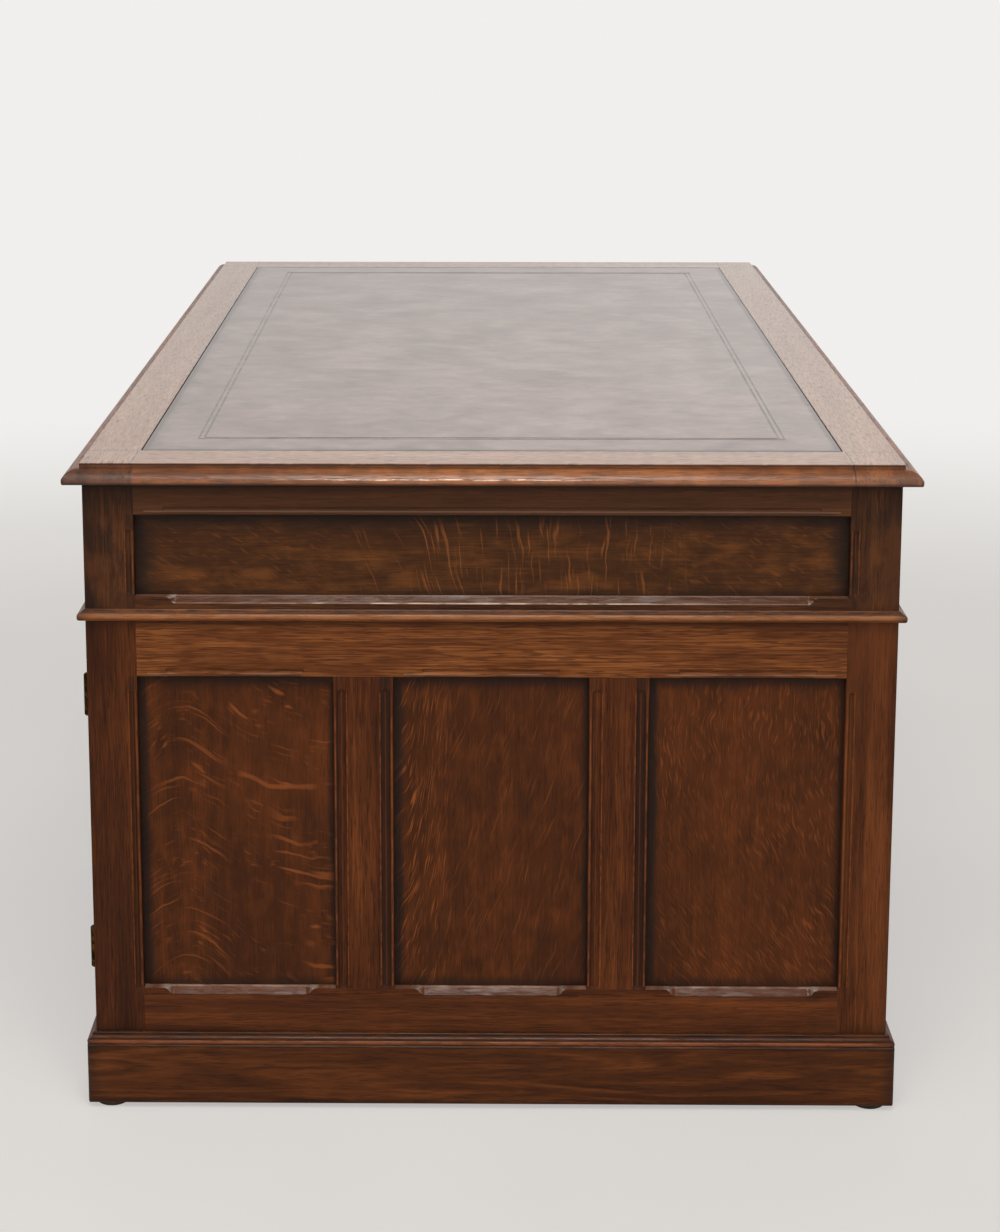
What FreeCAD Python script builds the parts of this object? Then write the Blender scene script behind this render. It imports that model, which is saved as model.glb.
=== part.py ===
import FreeCAD, Part
import os

# A pedestal partners desk in oak: a leather-lined top on a shallow case of six frieze drawers,
# which stands on two panelled pedestals. Each pedestal has three drawers on the front and a
# cupboard on the rear. Millimetres. +Z is up, X runs along the desk, the front looks along -Y,
# left and right are as seen from the front, and the origin is on the floor under the middle.

# ---------------------------------------------------------------- driving dimensions

desk_length = 1524.0            # over the moulded edge of the top
desk_width = 970.0
desk_height = 780.0
edge_overhang = 21.0            # moulded edge beyond the face of the case

# the top
top_thickness = 22.0
border_width = 61.0             # flat oak round the leather
edge_step = 5.5                 # upright step above the thumbnail
edge_reach = 19.0               # thumbnail beyond the flat
edge_nose = 4.0                 # rounding under the thumbnail
edge_corner = 7.0               # rounding of the top's four corners
edge_swell = (0.68, 0.72)       # fullest point of the thumbnail: shares of its reach and height
leather_thickness = 1.6
leather_gap = 0.8               # crevice round the leather

# frame and panel work
frame_thickness = 24.0
stile_width = 57.5
muntin_width = 69.0
panel_thickness = 8.0
panel_recess = 9.5              # panel face behind the frame face
panel_tongue = 6.0              # panel in its groove
groove_depth = 7.0
tenon_length = 32.0
muntin_tenon = 18.0
tenon_shoulder = 6.0
fit_clearance = 0.2             # between glued or seated pieces
overcut = 1.0                   # how far a cutter runs past the wood

# worked edges
stile_hollow_width = 6.0
stile_hollow_depth = 2.2
muntin_hollow_width = 11.0
muntin_hollow_depth = 2.8
bead_width = 4.0                # left standing between hollow and arris
bead_round = 1.8
stile_head_stop = 20.0          # plain length above a worked stile or muntin edge
stile_foot_stop = 5.0
rail_stop = 36.0                # plain length before the worked edge of an upper rail
frieze_chamfer_stop = 34.0      # plain length before the chamfer of a lower rail
pedestal_chamfer_stop = 23.0
chamfer_size = 8.0
chamfer_run_out = 12.0          # ogee at each end of a chamfer

# the upper case
frieze_height = 162.0
frieze_top_rail = 39.0
frieze_bottom_rail = 27.0
drawer_top_rail = 20.0
drawer_bottom_rail = 24.0
rail_depth = 50.0               # front to back, of the rails round the drawers
waist_height = 12.5
waist_reach = 9.0
waist_corner = 3.5
# the waist moulding from the case outward and down: share of the reach, share of the height
waist_profile = [(0.0, 1.0), (0.1, 1.0), (0.38, 0.82, "round"), (0.5, 0.76),
                 (1.0, 0.38, "round"), (0.62, 0.0), (0.0, 0.0)]
back_board = 15.0               # boards between front and rear drawers
dust_board = 6.0
dust_board_rise = 4.0           # dust board above the foot of the case
runner_width = 20.0

# the pedestals
pedestal_length = 430.0
pedestal_top_rail = 68.0
pedestal_bottom_rail = 141.0
carcase_board = 16.0
floor_rise = 83.0               # underside of the floor board above the foot of the pedestal
upper_drawer_height = 134.0
middle_drawer_height = 147.0
shelf_height = 336.0
shelf_setback = 8.0
shelf_play = 1.0
bearer_width = 12.0
bearer_height = 20.0
base_rail = 20.0

# plinth and feet
plinth_height = 87.0
plinth_reach = 10.2
plinth_arris = 4.0
plinth_corner = 5.0
# the plinth's moulded top from the case outward and down: share of the reach, mm below the top
plinth_profile = [(0.0, 0.0), (0.2, 0.0), (0.36, 0.6, "round"), (0.4, 2.0), (0.4, 3.0),
                  (0.56, 5.4, "round"), (0.8, 6.6), (0.8, 7.2), (1.0, 9.8, "round"),
                  (0.84, 12.6), (1.0, 14.6)]
foot_height = 6.0
foot_radius = 20.0
foot_inset = 26.0               # centre of a foot inside the plinth's outer faces

# drawers
drawer_gap = 1.0                # round a drawer front
running_gap = 0.5               # under a drawer side
drawer_back_room = 11.5         # behind a closed drawer
front_thickness = 22.0
front_arris = 1.5
cock_bead = 5.0
quirk_width = 1.6
quirk_depth = 1.4
side_thickness = 12.0
side_drop = 5.0                 # drawer side below the top of the front
back_thickness = 10.0
back_drop = 8.0
bottom_thickness = 6.0
bottom_rise = 11.0
bottom_tongue = 4.0
tail_length = 16.0
tail_pitch = 38.0
tail_flare = 2.2
tail_share = 0.58               # narrow end of a tail, as a share of the pitch
knob_spread = 0.5               # knob spacing on the wide drawers, as a share of their width

# knobs
knob_radius = 20.0
knob_height = 29.0
knob_collar = 12.5
knob_neck = 8.5
knob_neck_height = 8.0
# the turned head above the neck: share of the radius, share of the height
knob_profile = [(0.84, 0.544), (0.955, 0.6, "round"), (1.0, 0.68), (0.74, 0.9, "round"),
                (0.12, 1.0), (0.0, 1.0)]
knob_collar_height = 3.0
knob_collar_edge = 1.6
knob_collar_round = 1.2
spigot_radius = 6.0
spigot_length = 19.0
spigot_clearance = 0.05

# doors and hinges
door_thickness = 22.0
door_gap = 1.6
door_top_rail = 62.0
door_bottom_rail = 72.0
door_knob_height = 262.0        # above the foot of the door
hinge_length = 50.8
hinge_inset = 55.0              # hinge from the end of the door
leaf_width = 17.0
leaf_thickness = 1.5
knuckle_radius = 4.0
knuckle_stand = 0.3             # knuckle clear of the door's face
knuckle_gap = 0.3
pin_radius = 1.5
pin_clearance = 0.05
pin_head_radius = 2.8
pin_head = 1.4

# ---------------------------------------------------------------- places that follow

case_x = desk_length / 2 - edge_overhang
case_y = desk_width / 2 - edge_overhang
top_underside = desk_height - top_thickness
waist_z = top_underside - frieze_height
inner_x = case_x - frame_thickness
knee_x = case_x - pedestal_length
carcase_x = knee_x + frame_thickness
board_width = border_width + edge_reach
frieze_floor = waist_z + drawer_bottom_rail
frieze_ceiling = top_underside - drawer_top_rail
pedestal_foot = foot_height
pedestal_height = waist_z - pedestal_foot
opening_floor = pedestal_foot + floor_rise + carcase_board
opening_ceiling = waist_z - carcase_board
opening_width = inner_x - carcase_x
door_width = opening_width - 2 * door_gap
door_height = opening_ceiling - opening_floor - 2 * door_gap
hinge_x = inner_x - door_gap / 2
hinge_y = case_y + knuckle_radius + knuckle_stand
drawer_depth = case_y - back_board / 2 - drawer_back_room

round_middle = 1 - 0.5 ** 0.5   # middle of a quarter round, in from its square corner
V = FreeCAD.Vector
LEFT = -1
RIGHT = 1
TO_FRONT = 0                    # turns that face a piece made facing the front another way
TO_REAR = 180
TO_LEFT = -90
TO_RIGHT = 90
made = {}


def keep(name, *solids):
    """Adds solids to a named piece of the desk."""
    made.setdefault(name, []).extend(solids)


# ---------------------------------------------------------------- shapes

def block(x, y, z):
    """A board between pairs of coordinates."""
    return Part.makeBox(x[1] - x[0], y[1] - y[0], z[1] - z[0], V(x[0], y[0], z[0]))


def rod(radius, start, end):
    """A round bar from one point to another."""
    run = end - start
    return Part.makeCylinder(radius, run.Length, start, run)


def turned(shape, degrees, x, y, z):
    """A copy turned about the vertical through the origin, then moved."""
    copy = shape.copy()
    copy.rotate(V(0, 0, 0), V(0, 0, 1), degrees)
    copy.translate(V(x, y, z))
    return copy


def both_ways(shape):
    """The shape and its mirror image in the middle of the desk's length."""
    return [shape, shape.mirror(V(0, 0, 0), V(1, 0, 0))]


def joined(first, *others):
    """One solid from several that touch."""
    return first.fuse(list(others)).removeSplitter()


def path_edges(points, place):
    """Edges through (out, up) points. A point marked round is the middle of an arc."""
    edges = []
    last = points[0]
    middle = None
    for point in points[1:]:
        if len(point) == 3:
            middle = point
            continue
        if middle:
            edges.append(Part.Arc(place(*last), place(*middle[:2]), place(*point)).toShape())
        else:
            edges.append(Part.LineSegment(place(*last), place(*point)).toShape())
        last = point
        middle = None
    return edges


def moulded_strip(half, section, place, travel):
    """A long solid with the same section on its two edges, one mirrored."""
    right = path_edges(section, lambda out, up: place(half + out, up))
    left = path_edges(section, lambda out, up: place(-half - out, up))
    head = Part.LineSegment(place(-half - section[0][0], section[0][1]),
                            place(half + section[0][0], section[0][1])).toShape()
    foot = Part.LineSegment(place(-half - section[-1][0], section[-1][1]),
                            place(half + section[-1][0], section[-1][1])).toShape()
    wire = Part.Wire(Part.__sortEdges__([head, foot] + right + left))
    return Part.Face(wire).extrude(travel)


def moulded_slab(half_x, half_y, section, reach):
    """A slab whose four edges carry the same section, mitred at the corners."""
    long_x = half_x + reach + overcut
    long_y = half_y + reach + overcut
    along_y = moulded_strip(half_x, section, lambda a, up: V(a, -long_y, up), V(0, 2 * long_y, 0))
    along_x = moulded_strip(half_y, section, lambda a, up: V(-long_x, a, up), V(2 * long_x, 0, 0))
    return along_y.common(along_x)


def rounded_block(half_x, half_y, foot, head, radius):
    """A block about the Z axis with its four upright corners rounded."""
    solid = block((-half_x, half_x), (-half_y, half_y), (foot, head))
    upright = [edge for edge in solid.Edges if edge.BoundBox.ZLength > (head - foot) / 2]
    return solid.makeFillet(radius, upright)


def mitred_ring(half_x, half_y, section, reach, foot, head, corner):
    """Four mitred lengths planted round a rectangular case, rounded at its corners."""
    low = foot - overcut
    high = head + overcut
    ring = moulded_slab(half_x, half_y, section, reach)
    ring = ring.cut(block((-half_x, half_x), (-half_y, half_y), (low, high)))
    ring = ring.common(rounded_block(half_x + reach, half_y + reach, low, high, corner))
    out_x = half_x + reach
    out_y = half_y + reach
    deep = 3 * reach
    corners = [(-out_x, -out_y), (out_x, -out_y), (out_x, out_y), (-out_x, out_y)]
    lengths = []
    for i in range(4):
        a = corners[i]
        b = corners[(i + 1) % 4]
        plan = []
        for spot, inward in ((a, 0), (b, 0), (b, deep), (a, deep)):
            shift_x = -inward if spot[0] > 0 else inward
            shift_y = -inward if spot[1] > 0 else inward
            plan.append(V(spot[0] + shift_x, spot[1] + shift_y, low))
        wedge = Part.Face(Part.makePolygon(plan + plan[:1])).extrude(V(0, 0, high - low))
        lengths.append(ring.common(wedge).Solids[0])
    return lengths


# ---------------------------------------------------------------- worked edges

def hollow(start, end, width, depth, outward):
    """A scratched hollow along a face, with a rounded stop at each end."""
    radius = (width * width / 4 + depth * depth) / (2 * depth)
    lift = outward * (radius - depth)
    a = start + lift
    b = end + lift
    return [rod(radius, a, b), Part.makeSphere(radius, a), Part.makeSphere(radius, b)]


def round_over(start, end, across, behind, radius):
    """What is taken off a square arris to round it, between two points on the arris."""
    centre = (behind - across) * radius
    past = across * overcut
    ahead = behind * overcut
    square = [start - across * radius - ahead, start + past - ahead,
              start + past + behind * radius, start + centre]
    waste = Part.Face(Part.makePolygon(square + square[:1])).extrude(end - start)
    return [waste.cut(rod(radius, start + centre, end + centre))]


def scratch_moulding(start, end, across, width, depth):
    """A hollow and a rounded bead along an arris of a frame's front face."""
    behind = V(0, 1, 0)
    inset = across * (bead_width + width / 2)
    cutters = hollow(start - inset, end - inset, width, depth, -behind)
    return cutters + round_over(start, end, across, behind, bead_round)


def stopped_chamfer(x0, x1, z):
    """A chamfer on the top arris of a rail's front face, run out in an ogee at both ends."""
    rise = chamfer_size / 4
    mid = chamfer_run_out / 2
    quarter = chamfer_run_out / 4
    bulge = chamfer_size / 12
    points = [(x0, z), (x0 + quarter + bulge, z - rise + bulge, "round"),
              (x0 + mid, z - 2 * rise),
              (x0 + mid + quarter - bulge, z - 3 * rise - bulge, "round"),
              (x0 + chamfer_run_out, z - chamfer_size),
              (x1 - chamfer_run_out, z - chamfer_size),
              (x1 - mid - quarter + bulge, z - 3 * rise - bulge, "round"),
              (x1 - mid, z - 2 * rise),
              (x1 - quarter - bulge, z - rise + bulge, "round"),
              (x1, z), (x1, z + overcut), (x0, z + overcut), (x0, z)]
    edges = path_edges(points, lambda x, up: V(x, -overcut, up - overcut))
    face = Part.Face(Part.Wire(edges))
    slope = chamfer_size + 2 * overcut
    return [face.extrude(V(0, slope, slope))]


# ---------------------------------------------------------------- frame and panel

def panel_frame(width, height, top_rail, bottom_rail, thickness, bays, chamfer_stop):
    """A moulded frame standing on z = 0 with its front face on y = 0, and its panels."""
    near = stile_width
    far = width - stile_width
    low = bottom_rail
    high = height - top_rail
    bay = (far - near - (bays - 1) * muntin_width) / bays
    groove = (panel_recess - fit_clearance / 2, panel_recess + panel_thickness + fit_clearance / 2)
    tongue = (panel_recess, panel_recess + panel_thickness)
    depth = (0, thickness)
    rails = ((0, bottom_rail), (high, height))
    starts = [near + i * (bay + muntin_width) for i in range(bays)]

    stile = block((0, near), depth, (0, height))
    cuts = [block((near - groove_depth, near), groove, (low - groove_depth, high + groove_depth))]
    for z0, z1 in rails:
        cuts.append(block((near - tenon_length - fit_clearance, near), groove,
                          (z0 + tenon_shoulder - fit_clearance, z1 - tenon_shoulder + fit_clearance)))
    worked = (low + stile_foot_stop, high - stile_head_stop)
    cuts += scratch_moulding(V(near, 0, worked[0]), V(near, 0, worked[1]), V(1, 0, 0),
                             stile_hollow_width, stile_hollow_depth)
    stile = stile.cut(cuts)
    other = stile.mirror(V(width / 2, 0, 0), V(1, 0, 0))
    members = [stile, other]

    for z0, z1 in rails:
        body = block((near, far), depth, (z0, z1))
        tenon = block((near - tenon_length, far + tenon_length), tongue,
                      (z0 + tenon_shoulder, z1 - tenon_shoulder))
        rail = joined(body, tenon)
        upper = z0 > 0
        mouth = (z0, z0 + groove_depth) if upper else (z1 - groove_depth, z1)
        cuts = [block((near, far), groove, mouth)]
        for x in starts[1:]:
            socket = muntin_tenon + fit_clearance
            reach = (z0, z0 + socket) if upper else (z1 - socket, z1)
            cuts.append(block((x - muntin_width + tenon_shoulder - fit_clearance,
                               x - tenon_shoulder + fit_clearance), groove, reach))
        for x in starts:
            if upper:
                cuts += scratch_moulding(V(x + rail_stop, 0, z0), V(x + bay - rail_stop, 0, z0),
                                         V(0, 0, -1), stile_hollow_width, stile_hollow_depth)
            else:
                cuts += stopped_chamfer(x + chamfer_stop, x + bay - chamfer_stop, z1)
        members.append(rail.cut(cuts))

    for x in starts[1:]:
        x0 = x - muntin_width
        body = block((x0, x), depth, (low, high))
        tenon = block((x0 + tenon_shoulder, x - tenon_shoulder), tongue,
                      (low - muntin_tenon, high + muntin_tenon))
        cuts = []
        for edge, across in ((x0, V(-1, 0, 0)), (x, V(1, 0, 0))):
            inner = (edge, edge + groove_depth) if across.x < 0 else (edge - groove_depth, edge)
            cuts.append(block(inner, groove, (low, high)))
            cuts += scratch_moulding(V(edge, 0, worked[0]), V(edge, 0, worked[1]), across,
                                     muntin_hollow_width, muntin_hollow_depth)
        members.append(joined(body, tenon).cut(cuts))

    panels = [block((x - panel_tongue, x + bay + panel_tongue), tongue,
                    (low - panel_tongue, high + panel_tongue)) for x in starts]
    return members, panels


# ---------------------------------------------------------------- the top

def make_top():
    z = desk_height
    foot = top_underside
    flat_x = desk_length / 2 - edge_reach
    flat_y = desk_width / 2 - edge_reach
    brow = z - edge_step
    nose = foot + edge_nose
    nose_turn = edge_nose * round_middle
    section = [(0, z), (0, brow),
               (edge_reach * edge_swell[0], nose + (brow - nose) * edge_swell[1], "round"),
               (edge_reach, nose), (edge_reach - nose_turn, foot + nose_turn, "round"),
               (edge_reach - edge_nose, foot)]
    slab = moulded_slab(flat_x, flat_y, section, edge_reach)
    out_x = desk_length / 2
    out_y = desk_width / 2
    slab = slab.common(rounded_block(out_x, out_y, foot - overcut, z + overcut, edge_corner))
    core_x = out_x - board_width
    core_y = out_y - board_width
    for y in ((-out_y, -core_y), (core_y, out_y)):
        keep("top_long_boards", slab.common(block((-out_x, out_x), y, (foot, z))))
    for x in ((-out_x, -core_x), (core_x, out_x)):
        keep("top_end_boards", slab.common(block(x, (-core_y, core_y), (foot, z))))
    keep("top_core", block((-core_x, core_x), (-core_y, core_y), (foot, z - leather_thickness)))
    edge_x = core_x - leather_gap
    edge_y = core_y - leather_gap
    keep("writing_leather", block((-edge_x, edge_x), (-edge_y, edge_y), (z - leather_thickness, z)))


# ---------------------------------------------------------------- the upper case

def make_upper_case():
    members, panels = panel_frame(2 * case_y, frieze_height, frieze_top_rail, frieze_bottom_rail,
                                  frame_thickness, 1, frieze_chamfer_stop)
    for name, pieces in (("frieze_end_frames", members), ("frieze_end_panels", panels)):
        for piece in pieces:
            keep(name, turned(piece, TO_LEFT, -case_x, case_y, waist_z))
            keep(name, turned(piece, TO_RIGHT, case_x, -case_y, waist_z))

    back_y = case_y - rail_depth
    for y in ((-case_y, -back_y), (back_y, case_y)):
        keep("frieze_drawer_rails", block((-inner_x, inner_x), y, (frieze_ceiling, top_underside)))
        keep("frieze_drawer_rails", block((-inner_x, inner_x), y, (waist_z, frieze_floor)))

    tall = (frieze_floor, frieze_ceiling)
    for x in ((-carcase_x, -knee_x), (knee_x, carcase_x)):
        keep("frieze_interior", block(x, (-case_y, case_y), tall))
    for x in ((-inner_x, -carcase_x), (-knee_x, knee_x), (carcase_x, inner_x)):
        keep("frieze_interior", block(x, (-back_board / 2, back_board / 2), tall))
        for strip in ((x[0], x[0] + runner_width), (x[1] - runner_width, x[1])):
            run = (-back_y, back_y)
            shelf = waist_z + dust_board_rise + dust_board
            keep("frieze_interior", block(strip, run, (shelf, frieze_floor)))
            keep("frieze_interior", block(strip, run, (frieze_ceiling, top_underside)))
    keep("frieze_interior", block((-inner_x, inner_x), (-back_y, back_y),
                                  (waist_z + dust_board_rise, waist_z + dust_board_rise + dust_board)))

    section = [(out * waist_reach, waist_z + up * waist_height, *mark)
               for out, up, *mark in waist_profile]
    keep("waist_moulding", *mitred_ring(case_x, case_y, section, waist_reach, waist_z,
                                        waist_z + waist_height, waist_corner))


# ---------------------------------------------------------------- the pedestals

def make_pedestals():
    members, panels = panel_frame(2 * case_y, pedestal_height, pedestal_top_rail, pedestal_bottom_rail,
                                  frame_thickness, 3, pedestal_chamfer_stop)
    mortises = hinge_mortises("frame")
    for name, pieces in (("pedestal_side_frames", members), ("pedestal_panels", panels)):
        for piece in pieces:
            outer = [turned(piece, TO_LEFT, -case_x, case_y, pedestal_foot),
                     turned(piece, TO_RIGHT, case_x, -case_y, pedestal_foot)]
            if name == "pedestal_side_frames":
                outer = [side.cut(mortises) for side in outer]
            keep(name, *outer)
            keep(name, turned(piece, TO_RIGHT, -knee_x, -case_y, pedestal_foot),
                 turned(piece, TO_LEFT, knee_x, case_y, pedestal_foot))

    x = (carcase_x, inner_x)
    full = (-case_y, case_y)
    foot = pedestal_foot
    boards = [block(x, full, (opening_ceiling, waist_z)),
              block(x, full, (foot + floor_rise, opening_floor)),
              block(x, (-back_board / 2, back_board / 2), (opening_floor, opening_ceiling)),
              block(x, (-case_y, base_rail - case_y), (foot, foot + floor_rise)),
              block(x, (case_y - base_rail, case_y), (foot, foot + floor_rise))]
    shelf_y = (back_board / 2 + shelf_play, case_y - door_thickness - shelf_setback)
    boards.append(block((x[0] + shelf_play, x[1] - shelf_play), shelf_y,
                        (shelf_height, shelf_height + carcase_board)))
    for strip in ((x[0], x[0] + bearer_width), (x[1] - bearer_width, x[1])):
        boards.append(block(strip, shelf_y, (shelf_height - bearer_height, shelf_height)))
    for board in boards:
        keep("pedestal_boards", *both_ways(board))

    back_y = rail_depth - case_y
    for z0 in drawer_rail_heights():
        z = (z0, z0 + carcase_board)
        pieces = [block(x, (-case_y, back_y), z)]
        for strip in ((x[0], x[0] + runner_width), (x[1] - runner_width, x[1])):
            pieces.append(block(strip, (back_y, -back_board / 2), z))
        for piece in pieces:
            keep("pedestal_drawer_rails", *both_ways(piece))


def drawer_rail_heights():
    """Undersides of the rails between the pedestal drawers, from the lower one up."""
    upper = opening_ceiling - upper_drawer_height - carcase_board
    lower = upper - middle_drawer_height - carcase_board
    return lower, upper


def make_plinths():
    foot = pedestal_foot
    head = foot + plinth_height
    out = plinth_reach
    half_x = pedestal_length / 2
    arris_turn = plinth_arris * round_middle
    section = [(share * out, head - down, *mark) for share, down, *mark in plinth_profile]
    section += [(out, foot + plinth_arris), (out - arris_turn, foot + arris_turn, "round"),
                (out - plinth_arris, foot), (0, foot)]
    ring = mitred_ring(half_x, case_y, section, out, foot, head, plinth_corner)
    for side in (LEFT, RIGHT):
        centre = side * (case_x - half_x)
        for length in ring:
            keep("plinth_boards", turned(length, TO_FRONT, centre, 0, 0))
        for x in (centre - half_x - out + foot_inset, centre + half_x + out - foot_inset):
            for y in (-case_y - out + foot_inset, case_y + out - foot_inset):
                keep("feet", rod(foot_radius, V(x, y, 0), V(x, y, foot_height)))


# ---------------------------------------------------------------- knobs

def knob(x, z):
    """A turned knob on the plane y = 0, with a spigot through the wood behind it."""
    points = [(0, -spigot_length), (spigot_radius, -spigot_length), (spigot_radius, 0),
              (knob_collar, 0), (knob_collar, knob_collar_edge),
              (knob_collar - knob_collar_round, knob_collar_height, "round"),
              (knob_neck, knob_neck_height / 2), (knob_neck * 1.07, knob_neck_height * 1.1, "round")]
    points += [(out * knob_radius, up * knob_height, *mark) for out, up, *mark in knob_profile]
    points += points[:1]
    edges = path_edges(points, lambda out, up: V(x + out, -up, z))
    face = Part.Face(Part.Wire(edges))
    return face.revolve(V(x, 0, z), V(0, 1, 0), 360)


def knob_hole(x, z, thickness):
    """The hole that a knob's spigot is glued into."""
    return rod(spigot_radius + spigot_clearance, V(x, -overcut, z), V(x, thickness + overcut, z))


# ---------------------------------------------------------------- drawers

def dovetails(height, thickness, spare):
    """The tails on the front end of a drawer side, or their sockets where spare is above 0."""
    count = max(2, round(height / tail_pitch))
    pitch = height / count
    half = pitch * tail_share / 2 + spare
    back = front_thickness
    front = front_thickness - tail_length - spare
    tails = []
    for i in range(count):
        z = -running_gap + pitch * (i + 0.5)
        plan = [V(0, back, z - half), V(0, back, z + half),
                V(0, front, z + half + tail_flare), V(0, front, z - half - tail_flare)]
        tails.append(Part.Face(Part.makePolygon(plan + plan[:1])).extrude(V(thickness, 0, 0)))
    return tails


def drawer(width, height, knob_places):
    """A drawer with its front's lower left corner at the origin: front, box pieces and knobs."""
    high = height - side_drop
    tall = high + running_gap
    right = V(width / 2, 0, 0)
    bottom_z = (bottom_rise, bottom_rise + bottom_thickness)
    slot_z = (bottom_z[0] - fit_clearance / 2, bottom_z[1] + fit_clearance / 2)
    tongue = (side_thickness - bottom_tongue, width - side_thickness + bottom_tongue)
    slot = (tongue[0] - fit_clearance, tongue[1] + fit_clearance)

    front = block((0, width), (0, front_thickness), (0, height))
    arris = [edge for edge in front.Edges if edge.BoundBox.YMax < front_arris]
    front = front.makeFillet(front_arris, arris)
    inner = cock_bead + quirk_width
    ring = block((cock_bead, width - cock_bead), (-overcut, quirk_depth), (cock_bead, height - cock_bead))
    ring = ring.cut(block((inner, width - inner), (-2 * overcut, quirk_depth + overcut),
                          (inner, height - inner)))
    sockets = dovetails(tall, side_thickness, fit_clearance / 2)
    sockets += [socket.mirror(right, V(1, 0, 0)) for socket in sockets]
    slot_y = front_thickness - bottom_tongue
    slot_start = slot_y - fit_clearance
    cuts = [ring, block(slot, (slot_start, front_thickness + overcut), slot_z)] + sockets
    cuts += [knob_hole(x, height / 2, front_thickness) for x in knob_places]
    front = front.cut(cuts)

    side = block((0, side_thickness), (front_thickness, drawer_depth), (-running_gap, high))
    side = joined(side, *dovetails(tall, side_thickness, 0))
    side = side.cut(block((slot[0], side_thickness + overcut), (slot_start, drawer_depth + overcut),
                          slot_z))
    back = block((side_thickness, width - side_thickness), (drawer_depth - back_thickness, drawer_depth),
                 (bottom_z[1], high - back_drop))
    bottom = block(tongue, (slot_y, drawer_depth), bottom_z)
    box = [side, side.mirror(right, V(1, 0, 0)), back, bottom]
    knobs = [knob(x, height / 2) for x in knob_places]
    return front, box, knobs


def make_drawer(name, x, z, faces_front, centre_pair):
    """Fits one drawer to an opening given by its X and Z limits."""
    width = x[1] - x[0] - 2 * drawer_gap
    height = z[1] - z[0] - 2 * drawer_gap
    spread = width * knob_spread / 2
    places = [width / 2 - spread, width / 2 + spread] if centre_pair else [width / 2]
    front, box, knobs = drawer(width, height, places)
    if faces_front:
        place = (TO_FRONT, x[0] + drawer_gap, -case_y, z[0] + drawer_gap)
    else:
        place = (TO_REAR, x[1] - drawer_gap, case_y, z[0] + drawer_gap)
    keep(name + "_drawer_front", turned(front, *place))
    keep(name + "_drawer_box", *[turned(piece, *place) for piece in box])
    keep(name + "_drawer_knobs", *[turned(piece, *place) for piece in knobs])


def make_drawers():
    columns = {"left": (-inner_x, -carcase_x), "centre": (-knee_x, knee_x), "right": (carcase_x, inner_x)}
    for column, x in columns.items():
        wide = column == "centre"
        make_drawer("front_frieze_" + column, x, (frieze_floor, frieze_ceiling), True, wide)
        make_drawer("rear_frieze_" + column, x, (frieze_floor, frieze_ceiling), False, wide)
        if wide:
            continue
        lower, upper = drawer_rail_heights()
        make_drawer(column + "_lower", x, (opening_floor, lower), True, False)
        make_drawer(column + "_middle", x, (lower + carcase_board, upper), True, False)
        make_drawer(column + "_upper", x, (upper + carcase_board, opening_ceiling), True, False)


# ---------------------------------------------------------------- doors and hinges

def hinge_heights():
    """The feet of the two hinges of a door."""
    foot = opening_floor + door_gap
    return foot + hinge_inset, foot + door_height - hinge_inset - hinge_length


def knuckle_bands(foot):
    """The lower, middle and upper third of a hinge, clear of the pin's two heads."""
    low = foot + pin_head
    third = (hinge_length - 2 * pin_head) / 3
    return [(low + i * third, low + (i + 1) * third) for i in range(3)]


def leaf(foot, side, middle):
    """One leaf on the right-hand hinge line: side 1 lies on the frame, side -1 on the door."""
    bands = knuckle_bands(foot)
    near = hinge_x + side * door_gap / 2
    x = sorted((near, near + side * leaf_thickness))
    plate = block(x, (case_y - leaf_width, hinge_y), (bands[0][0], bands[2][1]))
    own = [bands[1]] if middle else [bands[0], bands[2]]
    others = [bands[0], bands[2]] if middle else [bands[1]]
    half = knuckle_gap / 2
    clear = [rod(knuckle_radius + knuckle_stand, V(hinge_x, hinge_y, a - half),
                 V(hinge_x, hinge_y, b + half)) for a, b in others]
    plate = plate.cut(clear)
    knuckles = []
    for a, b in own:
        a = a if a == bands[0][0] else a + half
        b = b if b == bands[2][1] else b - half
        knuckles.append(rod(knuckle_radius, V(hinge_x, hinge_y, a), V(hinge_x, hinge_y, b)))
    hole = rod(pin_radius + pin_clearance, V(hinge_x, hinge_y, foot - overcut),
               V(hinge_x, hinge_y, foot + hinge_length + overcut))
    return joined(plate, *knuckles).cut(hole)


def hinge_pin(foot):
    """The loose pin of a hinge with a low button head at each end."""
    top = foot + hinge_length
    return joined(rod(pin_radius, V(hinge_x, hinge_y, foot), V(hinge_x, hinge_y, top)),
                  rod(pin_head_radius, V(hinge_x, hinge_y, foot), V(hinge_x, hinge_y, foot + pin_head)),
                  rod(pin_head_radius, V(hinge_x, hinge_y, top - pin_head), V(hinge_x, hinge_y, top)))


def hinge_mortises(member):
    """The shallow housings for the leaves, in the frame or in the door, on both sides."""
    side = 1 if member == "frame" else -1
    near = hinge_x + side * door_gap / 2
    x = sorted((near - side * overcut, near + side * leaf_thickness))
    housings = []
    for foot in hinge_heights():
        bands = knuckle_bands(foot)
        housings += both_ways(block(x, (case_y - leaf_width - fit_clearance, case_y + overcut),
                                    (bands[0][0] - fit_clearance, bands[2][1] + fit_clearance)))
    return housings


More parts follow.
